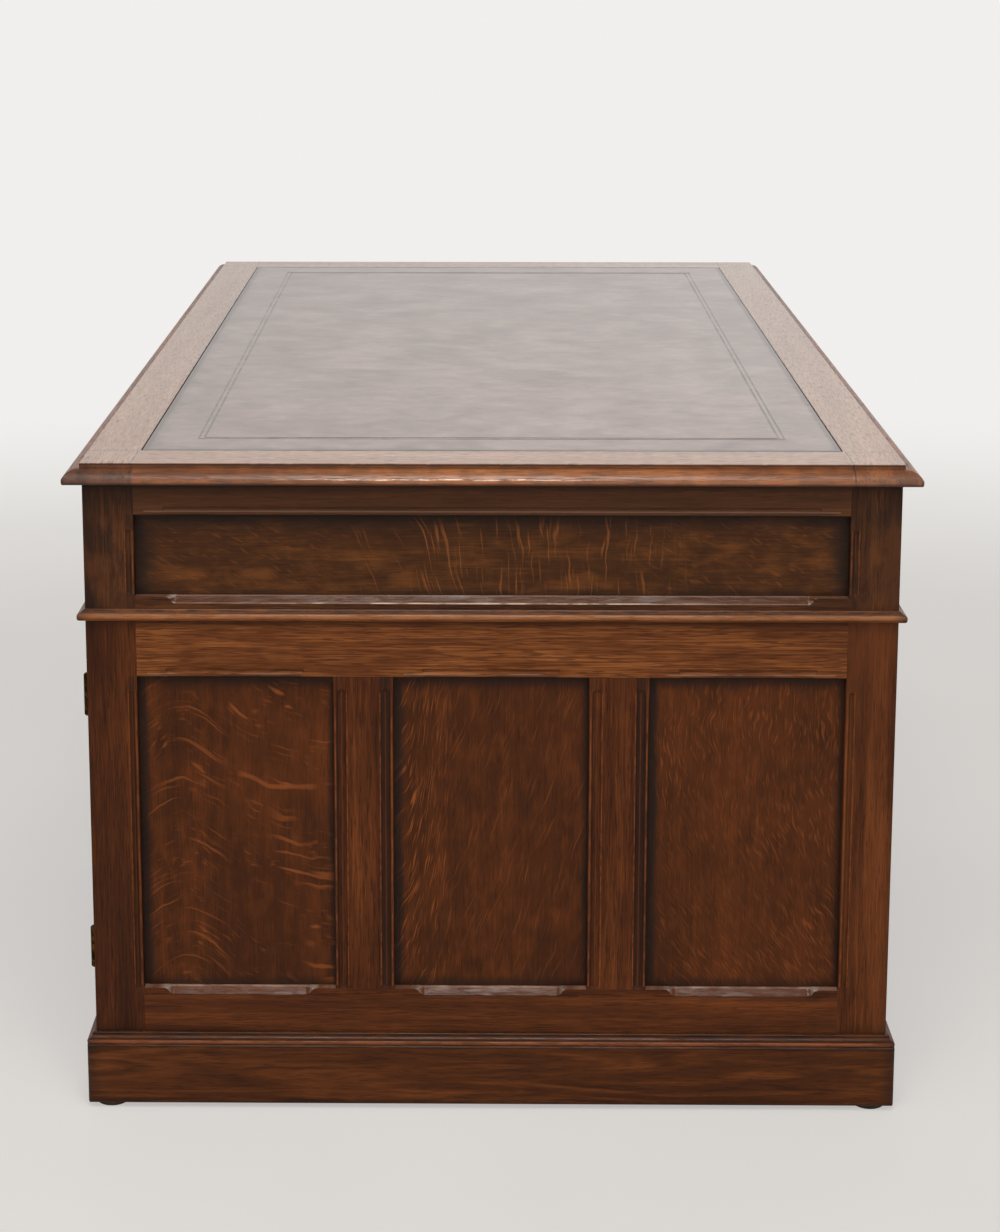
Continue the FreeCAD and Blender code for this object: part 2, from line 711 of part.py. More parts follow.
def make_doors():
    members, panels = panel_frame(door_width, door_height, door_top_rail, door_bottom_rail,
                                  door_thickness, 1, pedestal_chamfer_stop)
    right_place = (TO_REAR, inner_x - door_gap, case_y, opening_floor + door_gap)
    mortises = hinge_mortises("door")
    knob_x = door_width - stile_width / 2
    hole = turned(knob_hole(knob_x, door_knob_height, door_thickness), *right_place)
    pull = turned(knob(knob_x, door_knob_height), *right_place)
    members = [turned(piece, *right_place).cut(mortises + [hole]) for piece in members]
    panels = [turned(piece, *right_place) for piece in panels]
    leaves = [leaf(foot, -1, True) for foot in hinge_heights()]
    for part, pieces in (("frame", members), ("panel", panels), ("knob", [pull]), ("hinge_leaves", leaves)):
        for piece in pieces:
            right, left = both_ways(piece)
            keep("right_door_" + part, right)
            keep("left_door_" + part, left)
    for foot in hinge_heights():
        for piece in (leaf(foot, 1, False), hinge_pin(foot)):
            keep("cupboard_hinges", *both_ways(piece))


# ---------------------------------------------------------------- the desk

make_top()
make_upper_case()
make_pedestals()
make_plinths()
make_drawers()
make_doors()

os.makedirs("parts", exist_ok=True)
for name, solids in made.items():
    shape = solids[0] if len(solids) == 1 else Part.makeCompound(solids)
    shape.exportStep("parts/" + name + ".step")
    bad = [solid for solid in shape.Solids if not solid.isValid() or solid.Volume <= 0]
    print(name, len(shape.Solids), round(shape.Volume / 1000.0, 1), "cm3", "BAD" if bad else "")
print(len(made), "nodes")
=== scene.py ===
import math

import bpy
from mathutils import Matrix, Vector


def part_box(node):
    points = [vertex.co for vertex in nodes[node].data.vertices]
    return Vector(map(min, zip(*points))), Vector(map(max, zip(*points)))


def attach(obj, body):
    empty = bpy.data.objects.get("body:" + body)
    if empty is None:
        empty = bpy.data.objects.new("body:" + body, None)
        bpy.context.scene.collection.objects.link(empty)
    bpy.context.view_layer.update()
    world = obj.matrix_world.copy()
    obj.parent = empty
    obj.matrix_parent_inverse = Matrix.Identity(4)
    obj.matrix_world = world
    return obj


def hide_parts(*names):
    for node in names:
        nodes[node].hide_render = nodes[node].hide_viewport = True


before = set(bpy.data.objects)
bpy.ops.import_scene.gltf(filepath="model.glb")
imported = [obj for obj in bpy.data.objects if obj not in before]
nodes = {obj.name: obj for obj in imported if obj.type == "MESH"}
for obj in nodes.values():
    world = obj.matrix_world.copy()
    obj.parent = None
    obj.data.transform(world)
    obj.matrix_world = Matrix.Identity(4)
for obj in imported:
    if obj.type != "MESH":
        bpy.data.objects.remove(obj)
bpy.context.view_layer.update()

# The pedestal sides. Stiles and muntins stand between a deep lower rail and an upper rail, all of
# quarter-sawn oak, mortised and tenoned, fumed nearly black-brown and waxed. A hollow and bead are
# scratched along the edges next to the panels, and a hundred years of dusting has worn the arrises.


class Wire:
    """A value in a material's node tree, which takes ordinary arithmetic."""

    def __init__(self, tree, socket=None):
        self.tree = tree
        self.socket = socket

    def node(self, kind, settings=None, inputs=None, out=0):
        """Adds any node: its settings first, then the values or wires of its sockets."""
        made = self.tree.nodes.new("ShaderNode" + kind)
        for key, value in (settings or {}).items():
            if key == "stops":
                ramp = made.color_ramp
                while len(ramp.elements) < len(value):
                    ramp.elements.new(0.5)
                for element, (place, colour) in zip(ramp.elements, value):
                    element.position = place
                    element.color = colour
            else:
                setattr(made, key, value)
        for key, value in (inputs or {}).items():
            if isinstance(value, Wire):
                self.tree.links.new(value.socket, made.inputs[key])
            else:
                made.inputs[key].default_value = value
        return Wire(self.tree, made.outputs[out])

    def maths(self, operation, *values):
        """Adds a Math node."""
        return self.node("Math", {"operation": operation}, dict(enumerate(values)))

    def __add__(self, other):
        return self.maths("ADD", self, other)

    def __radd__(self, other):
        return self.maths("ADD", other, self)

    def __sub__(self, other):
        return self.maths("SUBTRACT", self, other)

    def __rsub__(self, other):
        return self.maths("SUBTRACT", other, self)

    def __mul__(self, other):
        return self.maths("MULTIPLY", self, other)

    def __rmul__(self, other):
        return self.maths("MULTIPLY", other, self)

    def __truediv__(self, other):
        return self.maths("DIVIDE", self, other)

    def __rtruediv__(self, other):
        return self.maths("DIVIDE", other, self)

    def __neg__(self):
        return self.maths("MULTIPLY", self, -1.0)

    def __abs__(self):
        return self.maths("ABSOLUTE", self)

    def __gt__(self, other):
        return self.maths("GREATER_THAN", self, other)

    def __lt__(self, other):
        return self.maths("LESS_THAN", self, other)


def stain(red, green, blue):
    """A colour given as a paint chart's 0 to 255 numbers."""
    parts = [c / 255 for c in (red, green, blue)]
    return [c / 12.92 if c < 0.04045 else ((c + 0.055) / 1.055) ** 2.4 for c in parts] + [1.0]


def swing(value, low, high):
    """0 at low, 1 at high, with a smooth change between them."""
    return value.node("MapRange", {"interpolation_type": "SMOOTHSTEP"}, {0: value, 1: low, 2: high})


def line(value, centre, half):
    """1 on a centre line, 0 beyond half a width from it."""
    return swing(abs(value - centre), half, half * 0.3)


def most(first, *others):
    """The greatest of several values, which is where any of several masks is."""
    for other in others:
        first = first.maths("MAXIMUM", first, other)
    return first


def least(first, second):
    """The smaller of two values."""
    return first.maths("MINIMUM", first, second)


def pick(mask, without, within):
    """One number outside a mask and another inside it."""
    return mask.node("Mix", {}, {0: mask, 2: without, 3: within})


def coat(mask, under, over):
    """One colour laid over another where the mask is 1."""
    return mask.node("Mix", {"data_type": "RGBA"}, {0: mask, 6: under, 7: over}, 2)


def tinted(tone, dark, middle, light):
    """Wood colour from its tone, which stays near a half."""
    return tone.node("ValToRGB", {"stops": [(0.37, dark), (0.5, middle), (0.64, light)]}, {0: tone})


def cloud(x, y, z, detail=2.0, rough=0.55, twist=0.0):
    """Smooth noise of about one unit, in coordinates that are already stretched to size."""
    at = x.node("CombineXYZ", {}, {0: x, 1: y, 2: z})
    return at.node("TexNoise", {}, {"Vector": at, "Scale": 1.0, "Detail": detail, "Roughness": rough,
                                    "Distortion": twist})


class Finish:
    """A new material with its coordinates in the desk's frame, in metres."""

    def __init__(self, name, node_names):
        self.material = bpy.data.materials.new(name)
        self.material.use_nodes = True
        self.tree = self.material.node_tree
        self.shader = self.tree.nodes["Principled BSDF"]
        place = Wire(self.tree).node("TexCoord", {}, {}, "Object")
        self.x, self.y, self.z = [place.node("SeparateXYZ", {}, {0: place}, axis) for axis in "XYZ"]
        for node_name in node_names:
            mesh = nodes[node_name].data
            mesh.materials.clear()
            mesh.materials.append(self.material)

    def paint(self, colour=None, roughness=None, height=None, depth=0.0004, polish=None, **constants):
        """Links the colour, roughness, height and polish, and sets the shader's fixed values."""
        for key, value in (("Base Color", colour), ("Roughness", roughness), ("Coat Weight", polish)):
            if isinstance(value, Wire):
                self.tree.links.new(value.socket, self.shader.inputs[key])
            elif value is not None:
                self.shader.inputs[key].default_value = value
        if height is not None:
            bump = height.node("Bump", {}, {"Height": height, "Distance": depth, "Strength": 1.0})
            self.tree.links.new(bump.socket, self.shader.inputs["Normal"])
        for key, value in constants.items():
            self.shader.inputs[key.replace("_", " ").title().replace("Ior", "IOR")].default_value = value

    def facing(self, axis):
        """How squarely each facet looks along an axis, from -1 to 1."""
        normal = self.x.node("NewGeometry", {}, {}, "True Normal")
        return normal.node("SeparateXYZ", {}, {0: normal}, axis)

    def rightward(self):
        """How far a point lies to the right of the middle, for someone who stands before its end."""
        return self.y * self.x.maths("SIGN", self.x)


def oak(thick, across, along):
    """Straight quarter-sawn grain: the tone of its rings, its open pores and slow changes of colour."""
    rings = cloud(thick * 90.0, across * 300.0, along * 12.0, 3.0, 0.62, 0.25)
    fibres = cloud(thick * 300.0, across * 900.0, along * 30.0, 2.0, 0.6)
    pores = swing(cloud(thick * 500.0, across * 900.0, along * 48.0, 1.0), 0.54, 0.66)
    bands = cloud(thick * 14.0, across * 38.0, along * 2.6, 2.0)
    blotch = cloud(thick * 9.0, across * 9.0, along * 6.0, 3.0)
    tone = rings * 0.32 + fibres * 0.28 + bands * 0.40
    return tone, pores, blotch


def hand_waves(x, y, z):
    """The faint unevenness that hand planing leaves under a polish."""
    return cloud(x * 22.0, y * 22.0, z * 22.0, 1.0) * 2.0


def worn_line(away, place, half, along, spread=46.0):
    """A worn arris: bright where dusters and knees have rubbed it, broken elsewhere."""
    breaks = cloud(along * spread, away * 20.0, along * 9.0, 3.0, 0.7)
    return line(away, place, half) * (0.25 + 0.75 * swing(breaks, 0.42, 0.62))


def old_wax(blotch, pores):
    """The roughness of old wax, which is uneven, and dull over the pores."""
    return 0.36 + blotch * 0.14 + pores * 0.2


fumed_dark = stain(50, 23, 8)
fumed = stain(80, 39, 13)
fumed_light = stain(114, 61, 25)
fumed_tints = (fumed_dark, fumed, fumed_light)
worn_oak = stain(152, 84, 44)
blackish_brown = stain(26, 13, 8)
dust_and_shade_black = stain(33, 24, 20)
gleam_and_scuff_grey = stain(150, 122, 104)
glint_white = stain(186, 176, 168)
wax_shine = 0.15
bead_wide = 0.0040
bead_crown = 0.0020


def framed_oak(finish, thick, side, gap, upright, rail_low, rail_high, hollow_wide, hollow_shade_and_dust, tints=fumed_tints):
    """A panelled frame's colour, with its joints, hollows, beads and wear, and painted shade with dust in
    its hollows. The gap is the distance outside the nearest panel, and uprights are where the grain stands."""
    z = finish.z
    tone, pores, blotch = oak(thick, pick(upright, z, side), pick(upright, side, z))
    colour = tinted(tone, *tints)
    colour = coat(pores * 0.5, colour, blackish_brown)
    colour = coat(swing(blotch, 0.45, 0.75) * 0.35, colour, tints[0])
    worked = (z > rail_low + bead_wide) * swing(z, rail_high - 0.014, rail_high - 0.024)
    hollow = swing(gap, bead_wide - 0.0005, bead_wide + 0.0012) * worked
    hollow = hollow * swing(gap, hollow_wide + 0.0002, hollow_wide - 0.0014)
    quirk = line(gap, bead_wide + 0.0002, 0.0009) * worked
    scraped = line(gap, hollow_wide * 0.62, 0.0008) * hollow
    beside_panel = (z > rail_low) * (z < rail_high)
    unworked = swing(gap, bead_crown, bead_wide + 0.0005) * (gap < hollow_wide)
    unworked = unworked * beside_panel * (1.0 - worked) * hollow_shade_and_dust * 0.8
    # Painted shade, with dust, darkens the hollows, the quirk and the panel's edge where the moulding stops.
    colour = coat(most(hollow * hollow_shade_and_dust, unworked, quirk * 0.8), colour, dust_and_shade_black)
    colour = coat(line(gap, 0.0, 0.0006) * beside_panel * 0.7, colour, blackish_brown)
    colour = coat(scraped * 0.45, colour, tints[2])
    face_arris = worn_line(gap - hollow_wide, 0.0003, 0.0010, z)
    bead_top = worn_line(gap, bead_crown, 0.0011, z, 31.0)
    colour = coat(most(face_arris * 0.6, bead_top * 0.55) * worked, colour, worn_oak)
    return colour, tone, pores, blotch


def chamfered(finish, rail_z, gap):
    """1 on the stopped chamfer that is worked along the top arris of a lower rail."""
    sloping = abs(finish.facing("X")) < 0.97
    return (abs(finish.z - rail_z + 0.005) < 0.0065) * sloping * (gap < 0.0)


def wax_frame(finish, colour, tone, pores, blotch, chamfer, rubbing, glint):
    """Finishes a chamfered frame. Its wax is smoothest on the chamfer, where the glints are."""
    relief = tone * 0.35 - pores * 0.25 + hand_waves(finish.x, finish.y, finish.z) + rubbing * chamfer * 3.0
    finish.paint(colour, old_wax(blotch, pores) - chamfer * 0.16, relief, polish=glint,
                 specular_ior_level=wax_shine, coat_roughness=0.15)


side_low, side_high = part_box("pedestal_side_frames")
stile_wide = 0.0575
muntin_wide = 0.069
upper_rail_deep = 0.068
lower_rail_deep = 0.141
stile_hollow = 0.010
muntin_hollow = 0.015
stile_edge = side_high.y - stile_wide
bay_wide = (2 * stile_edge - 2 * muntin_wide) / 3
bay_pitch = bay_wide + muntin_wide
upper_rail_z = side_high.z - upper_rail_deep
lower_rail_z = side_low.z + lower_rail_deep


def from_bay(across):
    """How far a point is to one side of the middle of the pedestal panel that it is nearest to."""
    nearest = (across / bay_pitch).maths("ROUND", across / bay_pitch)
    nearest = most(least(nearest, 1.0), -1.0)
    return across - nearest * bay_pitch


sides = Finish("fumed_oak_frame", ["pedestal_side_frames"])
x, y, z = sides.x, sides.y, sides.z
stile = abs(y) > stile_edge
between = (z > lower_rail_z) * (z < upper_rail_z)
rightward = sides.rightward()
offset = from_bay(rightward)
gap = abs(offset) - bay_wide / 2
hollow_wide = pick(stile, muntin_hollow, stile_hollow)
upright = most(stile, between)
# How much painted shade, with dust, darkens the hollows: more on one side of each panel than the other.
hollow_shade_and_dust = pick(offset < 0.0, 0.15, 0.6)
colour, tone, pores, blotch = framed_oak(sides, x, y, gap, upright, lower_rail_z, upper_rail_z, hollow_wide,
                                         hollow_shade_and_dust)
# Painted light and shade: the right stile is lighter in patches and the left one darker, as light from the
# right would leave them.
lit_right_stile = (rightward > stile_edge) * swing(cloud(x, y * 30.0, z * 4.0), 0.3, 0.6)
shaded_stile = rightward < -stile_edge
top_rail = (z > upper_rail_z) * (1.0 - stile)
straight = cloud(x, y * 9.0, z * 420.0, 3.0)
golden = tinted(tone * 0.4 + straight * 0.6, stain(88, 47, 20), stain(120, 68, 31), stain(150, 92, 47))
dashes = swing(cloud(x, y * 36.0, z * 700.0, 1.0), 0.50, 0.62)
golden = coat(dashes * 0.65, golden, stain(60, 31, 14))
smoky = swing(cloud(x, y * 9.0, z * 34.0, 3.0), 0.46, 0.64) * 0.5
golden = coat(smoky, golden, fumed)
# Painted shade along the top of the rail, under the waist moulding.
golden = coat(swing(z, side_high.z - 0.012, side_high.z - 0.002) * 0.6, golden, fumed_dark)
colour = coat(top_rail * 0.9, colour, golden)
colour = coat(lit_right_stile * 0.35, colour, stain(118, 66, 33))
colour = coat(shaded_stile * 0.25, colour, fumed_dark)
# A painted highlight along the top rail's lower arris.
rail_glint = line(z, upper_rail_z + bead_wide - 0.0004, 0.0010) * (gap < -0.012)
rail_glint = rail_glint * swing(cloud(x, y * 26.0, z), 0.35, 0.6)
colour = coat(rail_glint * 0.55, colour, gleam_and_scuff_grey)
colour = coat(line(z, upper_rail_z, 0.0012) * (gap < 0.0) * 0.7, colour, blackish_brown)
colour = coat(line(z, upper_rail_z, 0.0006) * (gap > 0.0) * (1.0 - stile) * 0.7, colour, blackish_brown)
rubbing = cloud(x, y * 34.0, z * 160.0, 3.0)
chamfer = chamfered(sides, lower_rail_z, gap)
colour = coat(chamfer * 0.5, colour, fumed_dark)
colour = coat(chamfer * 0.35, colour, stain(116, 66, 36))
# A painted highlight along the chamfer's upper arris, broken where it is rubbed.
upper_highlight = line(z, lower_rail_z - 0.0004, 0.0014) * chamfer
colour = coat(upper_highlight * (0.25 + swing(rubbing, 0.40, 0.60) * 0.5), colour, stain(150, 118, 100))
# A dark line along the chamfer's lower edge.
colour = coat(line(z, lower_rail_z - 0.0080, 0.0014) * (gap < -0.010) * 0.5, colour, blackish_brown)
# Painted pale glints on the chamfer's stops.
run_out = swing(abs(gap + 0.026), 0.007, 0.001) * swing(rubbing, 0.38, 0.52)
colour = coat(run_out * chamfer * 0.4, colour, glint_white)
glint = chamfer * (0.02 + swing(rubbing, 0.52, 0.66) * 0.20 + run_out * 0.8)
bottom_rail = (z < lower_rail_z - 0.009) * (1.0 - stile)
colour = coat(bottom_rail * 0.07, colour, stain(150, 86, 44))
# Darker towards the foot of the frame.
darker_near_foot = swing(z, side_low.z + 0.106, side_low.z + 0.084)
colour = coat(darker_near_foot * 0.4, colour, blackish_brown)
wax_frame(sides, colour, tone, pores, blotch, chamfer, rubbing, glint)

# The pedestal panels. Each is one wide quarter-sawn board, held loose in the frame's grooves. Sawn so,
# its rays show as pale ribbons, different on every board. Wax and dust have built up a dark margin
# where a cloth doesn't reach, and painted shade darkens the same margin.


def rays(across, along, thick, long, seed, low=0.60, high=0.70):
    """Pale ribbons of a given size, in coordinates whose second runs along them."""
    return swing(cloud(across / thick * 0.5, along / long * 0.5, seed, 1.2, 0.5, 0.12), low, high)


def panel_board(finish, thick, across, along, flecks, glow, dust_and_shade_margin, dark, middle, light, ray):
    """A quarter-sawn panel's finish from its ray mask, its golden clouds with any painted light, and its
    margin of dust and painted shade.
    """
    tone, pores, blotch = oak(thick, across, along)
    mottle = cloud(thick * 20.0, across * 70.0, along * 36.0, 3.0)
    tone = 0.06 + tone * 0.56 + mottle * 0.30
    colour = tinted(tone, dark, middle, light)
    colour = coat(glow, colour, light)
    colour = coat(pores * 0.3, colour, blackish_brown)
    colour = coat(swing(blotch, 0.42, 0.75) * 0.35, colour, dark)
    colour = coat(flecks, colour, ray)
    colour = coat(dust_and_shade_margin, colour, dust_and_shade_black)
    finish.paint(colour, 0.36 + blotch * 0.14 + pores * 0.12 - flecks * 0.05,
                 tone * 0.3 - pores * 0.2 + flecks * 0.25 + hand_waves(thick, across, along),
                 specular_ior_level=wax_shine)


panel_tints = (stain(56, 27, 8), stain(75, 37, 12), stain(104, 53, 19), stain(146, 80, 37))
muntin_at = bay_pitch / 2
heart_at = 0.357
broad_ribbon_at = (0.248, 0.392)

panels = Finish("quarter_sawn_panels", ["pedestal_panels"])
x, y, z = panels.x, panels.y, panels.z
across = -panels.rightward()
seed = x * 3.0
wander = cloud(seed, across * 14.0, z * 14.0) - 0.5
ripple = cloud(seed + 9.0, across * 60.0, z * 60.0, 1.0) - 0.5
uneven_light = 0.45 + cloud(seed + 5.0, across * 26.0, z * 26.0) * 0.9

from_heart = across - heart_at
bow_squared = from_heart * from_heart + 0.0010
heart_bow = bow_squared.maths("SQRT", bow_squared) / 0.10
arch = z + 0.125 * heart_bow.maths("TANH", heart_bow) + wander * 0.024 + ripple * 0.005
bold = rays(arch, across + wander * 0.03, 0.0042, 0.011, seed + 1.0, 0.60, 0.76) * 0.8
bold = most(bold, rays(arch, across, 0.0020, 0.009, seed + 2.0, 0.60, 0.74) * 0.4)
arcs = rays(arch, across, 0.0021, 0.045, seed + 3.0, 0.60, 0.72) * 0.6
arcs = arcs * swing(abs(from_heart), 0.060, 0.030)
ribbons = rays(arch + across * 0.1, across, 0.0046, 0.055, seed + 3.0) * swing(across, 0.265, 0.235) * 0.8
patchy = swing(cloud(seed + 4.0, across * 15.0, z * 15.0), 0.42, 0.60)
rising = swing(across, 0.252, 0.292) * 0.016 - ripple * 0.004
broad_ribbon = line(z - rising, broad_ribbon_at[1], 0.0045)
broad_ribbon = broad_ribbon * swing(abs(across - broad_ribbon_at[0]), 0.050, 0.036) * 0.75
flame = most(bold * patchy, arcs, ribbons, broad_ribbon) * (across > muntin_at) * 0.85

lean = across + z * 0.34 + wander * 0.020 + ripple * 0.002
thin = rays(lean, z, 0.0010, 0.026, seed + 5.0, 0.60, 0.74) * 0.34
hook = lean + swing(across, 0.03, 0.10) * (z * 0.5 + (0.5 - cloud(seed, across * 18.0, z * 18.0)) * 0.05)
hooks = rays(hook, z, 0.0024, 0.018, seed + 6.0, 0.58, 0.70) * swing(across, 0.035, 0.065) * 0.8
slanted = most(thin, hooks) * (abs(across) < muntin_at)

dip = most(0.45 - z, 0.0)
curved = across + 1.2 * dip * dip + wander * 0.030 + ripple * 0.003
short = rays(curved, z, 0.0010, 0.009, seed + 7.0, 0.54, 0.70)
short = short * (0.18 + 0.30 * swing(cloud(seed + 8.0, across * 9.0, z * 9.0), 0.38, 0.62))
short = short * (across < -muntin_at)

flecks = (flame + slanted + short) * uneven_light
heart_glow = swing(cloud(seed + 6.0, across * 16.0, z * 7.0), 0.54, 0.70) * swing(across, 0.24, 0.30) * 0.3
edge_glow = swing(cloud(seed + 7.0, across * 22.0, z * 9.0), 0.50, 0.66) * line(across, 0.20, 0.03) * 0.6
slow_glow = swing(cloud(seed + 8.0, across * 9.0, z * 6.0), 0.50, 0.70) * 0.35
patch_glow = swing(cloud(seed + 2.0, across * 30.0, z * 18.0, 3.0), 0.50, 0.72) * 0.35
stripe_glow = line(across + wander * 0.02, 0.192, 0.020) * swing(abs(z - 0.42), 0.080, 0.030) * 0.8
# Painted light: the right-hand panel is painted lighter, as if lit from the right.
right_panel_light = 0.12 + swing(cloud(seed, across * 12.0, z * 12.0), 0.40, 0.65) * 0.25
glow = most(heart_glow, edge_glow, slow_glow, patch_glow, stripe_glow, right_panel_light * (across < -muntin_at))
offset = from_bay(across)
inside = bay_wide / 2 - abs(offset) - (offset > 0.0) * 0.005
uneven = (cloud(seed, y * 40.0, z * 12.0) - 0.5) * 0.008
# The margin: dust and painted shade along the panel's edges.
dust_and_shade_margin = most(swing(inside + uneven, 0.010, 0.0), swing(upper_rail_z - z + uneven, 0.022, 0.002)) * 0.85
dust_and_shade_margin = most(dust_and_shade_margin, swing(z - lower_rail_z + uneven, 0.016, 0.0) * 0.7)
panel_board(panels, x, across, z, flecks, glow, dust_and_shade_margin, *panel_tints)

# The upper case ends. The same framing laid wide and low, with one long panel whose grain runs
# across the desk. It sits under the lip of the top: painted shade darkens its top, and handling has
# darkened it in patches.

upper_low, upper_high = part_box("frieze_end_frames")
frieze_low_z = upper_low.z + 0.027
frieze_high_z = upper_high.z - 0.039
smoked_tints = (stain(47, 26, 13), stain(68, 39, 21), stain(98, 58, 31))

ends = Finish("fumed_oak_upper_frame", ["frieze_end_frames"])
x, y, z = ends.x, ends.y, ends.z
gap = abs(y) - stile_edge
upright = gap > 0.0
colour, tone, pores, blotch = framed_oak(ends, x, y, gap, upright, frieze_low_z, frieze_high_z, stile_hollow,
                                         0.3, smoked_tints)
rubbed = swing(cloud(x, y * 34.0, z * 20.0, 4.0), 0.44, 0.64) * upright * swing(z, 0.735, 0.700)
outer_edge = upright * swing(abs(y), side_high.y - 0.022, side_high.y - 0.004)
colour = coat(outer_edge * 0.45, colour, dust_and_shade_black)
colour = coat(rubbed * 0.40, colour, stain(104, 60, 30))
colour = coat(swing(cloud(x, y * 40.0, z * 26.0 + 4.0, 3.0), 0.48, 0.66) * upright * 0.40, colour, dust_and_shade_black)
colour = coat((z > frieze_high_z) * (gap < 0.0) * 0.3, colour, stain(104, 66, 42))
# Painted shade along the top of the frame, under the lip of the top.
shade_under_lip = swing(z, upper_high.z - 0.014, upper_high.z - 0.002)
colour = coat(shade_under_lip * 0.75, colour, dust_and_shade_black)
rail_glint = line(z, frieze_high_z + bead_wide + 0.0004, 0.0010) * (gap < -0.012)
colour = coat(rail_glint * 0.45, colour, stain(140, 116, 100))
colour = coat(line(z, frieze_high_z, 0.0012) * (gap < 0.0) * 0.7, colour, blackish_brown)
rubbing = cloud(x, y * 26.0, z * 160.0, 3.0)
chamfer = chamfered(ends, frieze_low_z, gap)
colour = coat(chamfer * 0.5, colour, stain(86, 46, 20))
middle_third = swing(abs(y), 0.32, 0.12)
# Painted highlights on the chamfer: a pale line at its lower edge in the middle third, a softer one along its
# upper arris, and pale glints on its stops.
lower_highlight = line(z, frieze_low_z - 0.0076, 0.0012) * chamfer * (gap < -0.04)
lower_highlight = lower_highlight * (0.15 + middle_third * swing(rubbing, 0.40, 0.55) * 0.7)
colour = coat(lower_highlight, colour, stain(206, 170, 142))
colour = coat(line(z, frieze_low_z - 0.0004, 0.0010) * chamfer * 0.5, colour, stain(130, 98, 80))
run_out = swing(abs(gap + 0.041), 0.006, 0.001) * swing(rubbing, 0.40, 0.54)
colour = coat(run_out * chamfer * 0.4, colour, glint_white)
glint = chamfer * (0.03 + swing(rubbing, 0.50, 0.66) * 0.25 * middle_third + run_out * 0.6)
wax_frame(ends, colour, tone, pores, blotch, chamfer, rubbing, glint)

long_panels = Finish("quarter_sawn_upper_panels", ["frieze_end_panels"])
x, y, z = long_panels.x, long_panels.y, long_panels.z
across = -long_panels.rightward()
seed = x * 3.0
wander = cloud(seed, across * 12.0, z * 12.0) - 0.5
ripple = cloud(seed + 9.0, across * 60.0, z * 60.0, 1.0) - 0.5
lean = across - (z - 0.67) * swing(across, -0.08, 0.12) * 0.45 + wander * 0.03 + ripple * 0.003
tall = rays(lean, z, 0.0014, 0.030, seed + 1.0, 0.58, 0.72) * swing(abs(across + 0.03), 0.22, 0.12) * 0.6
crumbs = rays(z - across * 0.5 + wander * 0.04, across, 0.0016, 0.008, seed + 2.0, 0.58, 0.74) * 0.26
crumbs = crumbs * swing(abs(across), 0.10, 0.25)
flecks = (tall + crumbs) * (0.35 + cloud(seed + 3.0, across * 20.0, z * 20.0) * 0.9)
glow = swing(cloud(seed + 4.0, across * 14.0, z * 34.0, 3.0), 0.48, 0.68) * 0.6
glow = glow * most(swing(z, 0.695, 0.650), swing(across, 0.0, -0.16))
golden_spots = most(line(across, 0.350, 0.034), line(across, 0.268, 0.030))
golden_spots = golden_spots * line(z + ripple * 0.006, frieze_low_z + 0.024, 0.009)
glow = most(glow, golden_spots * 0.7)
uneven = (cloud(seed, across * 14.0, z * 30.0) - 0.5) * 0.016
dust_and_shade_margin = most(swing(stile_edge - abs(across) + uneven, 0.030, 0.004),
              swing(frieze_high_z - z + uneven, 0.026, 0.002)) * 0.85
dust_and_shade_margin = most(dust_and_shade_margin, swing(z - frieze_low_z + uneven, 0.010, 0.0) * 0.6)
panel_board(long_panels, x, z, across, flecks, glow, dust_and_shade_margin,
            stain(54, 30, 13), stain(73, 42, 19), stain(110, 65, 29), stain(150, 88, 45))

# The waist moulding and the plinth. The waist is a bead and cove planted round the foot of the upper
# case and mitred at the corners. The plinth boards are planted round each pedestal in the same way,
# and are moulded along their top edge.


def planted_finish(name, node_names, tints, figured, edges):
    """Oak that runs round the desk with its grain along each face. Each of the edges is a line of colour
    for dirt, wear, painted shade or a painted highlight: its height, half its width, its strength and its
    tint."""
    finish = Finish(name, node_names)
    x, y, z = finish.x, finish.y, finish.z
    on_end = abs(finish.facing("X")) > 0.5
    along = pick(on_end, x, y)
    thick = pick(on_end, y, x)
    tone, pores, blotch = oak(thick, z, along)
    figure = cloud(thick * 4.0, z * 42.0, along * 4.0, 3.0, 0.55, 2.2)
    mixed = tone * (1.0 - figured) + figure * figured
    colour = tinted(mixed, *tints)
    colour = coat(pores * 0.4, colour, blackish_brown)
    colour = coat(swing(blotch, 0.5, 0.75) * 0.35, colour, tints[0])
    broken = swing(cloud(x * 30.0, y * 30.0, z * 200.0, 3.0, 0.7), 0.36, 0.6)
    for place, half, strength, tint in edges:
        colour = coat(line(z, place, half) * (0.4 + broken * 0.6) * strength, colour, tint)
    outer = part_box(node_names[0])[1]
    mitre = pick(on_end, outer.x, outer.y)
    # Darker towards the mitred corners, in the colour of dust and shade.
    corner = swing(abs(along), mitre - 0.020, mitre)
    colour = coat(corner * (0.3 + broken * 0.4), colour, dust_and_shade_black)
    upward_face = finish.facing("Z") > 0.2
    finish.paint(colour, old_wax(blotch, pores) - 0.02, mixed * 0.4 - pores * 0.25 + hand_waves(x, y, z),
                 polish=upward_face * (0.1 + broken * 0.25),
                 specular_ior_level=wax_shine, coat_roughness=0.25)


waist_low, waist_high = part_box("waist_moulding")
waist_tints = (stain(80, 44, 21), stain(122, 72, 38), stain(156, 98, 56))
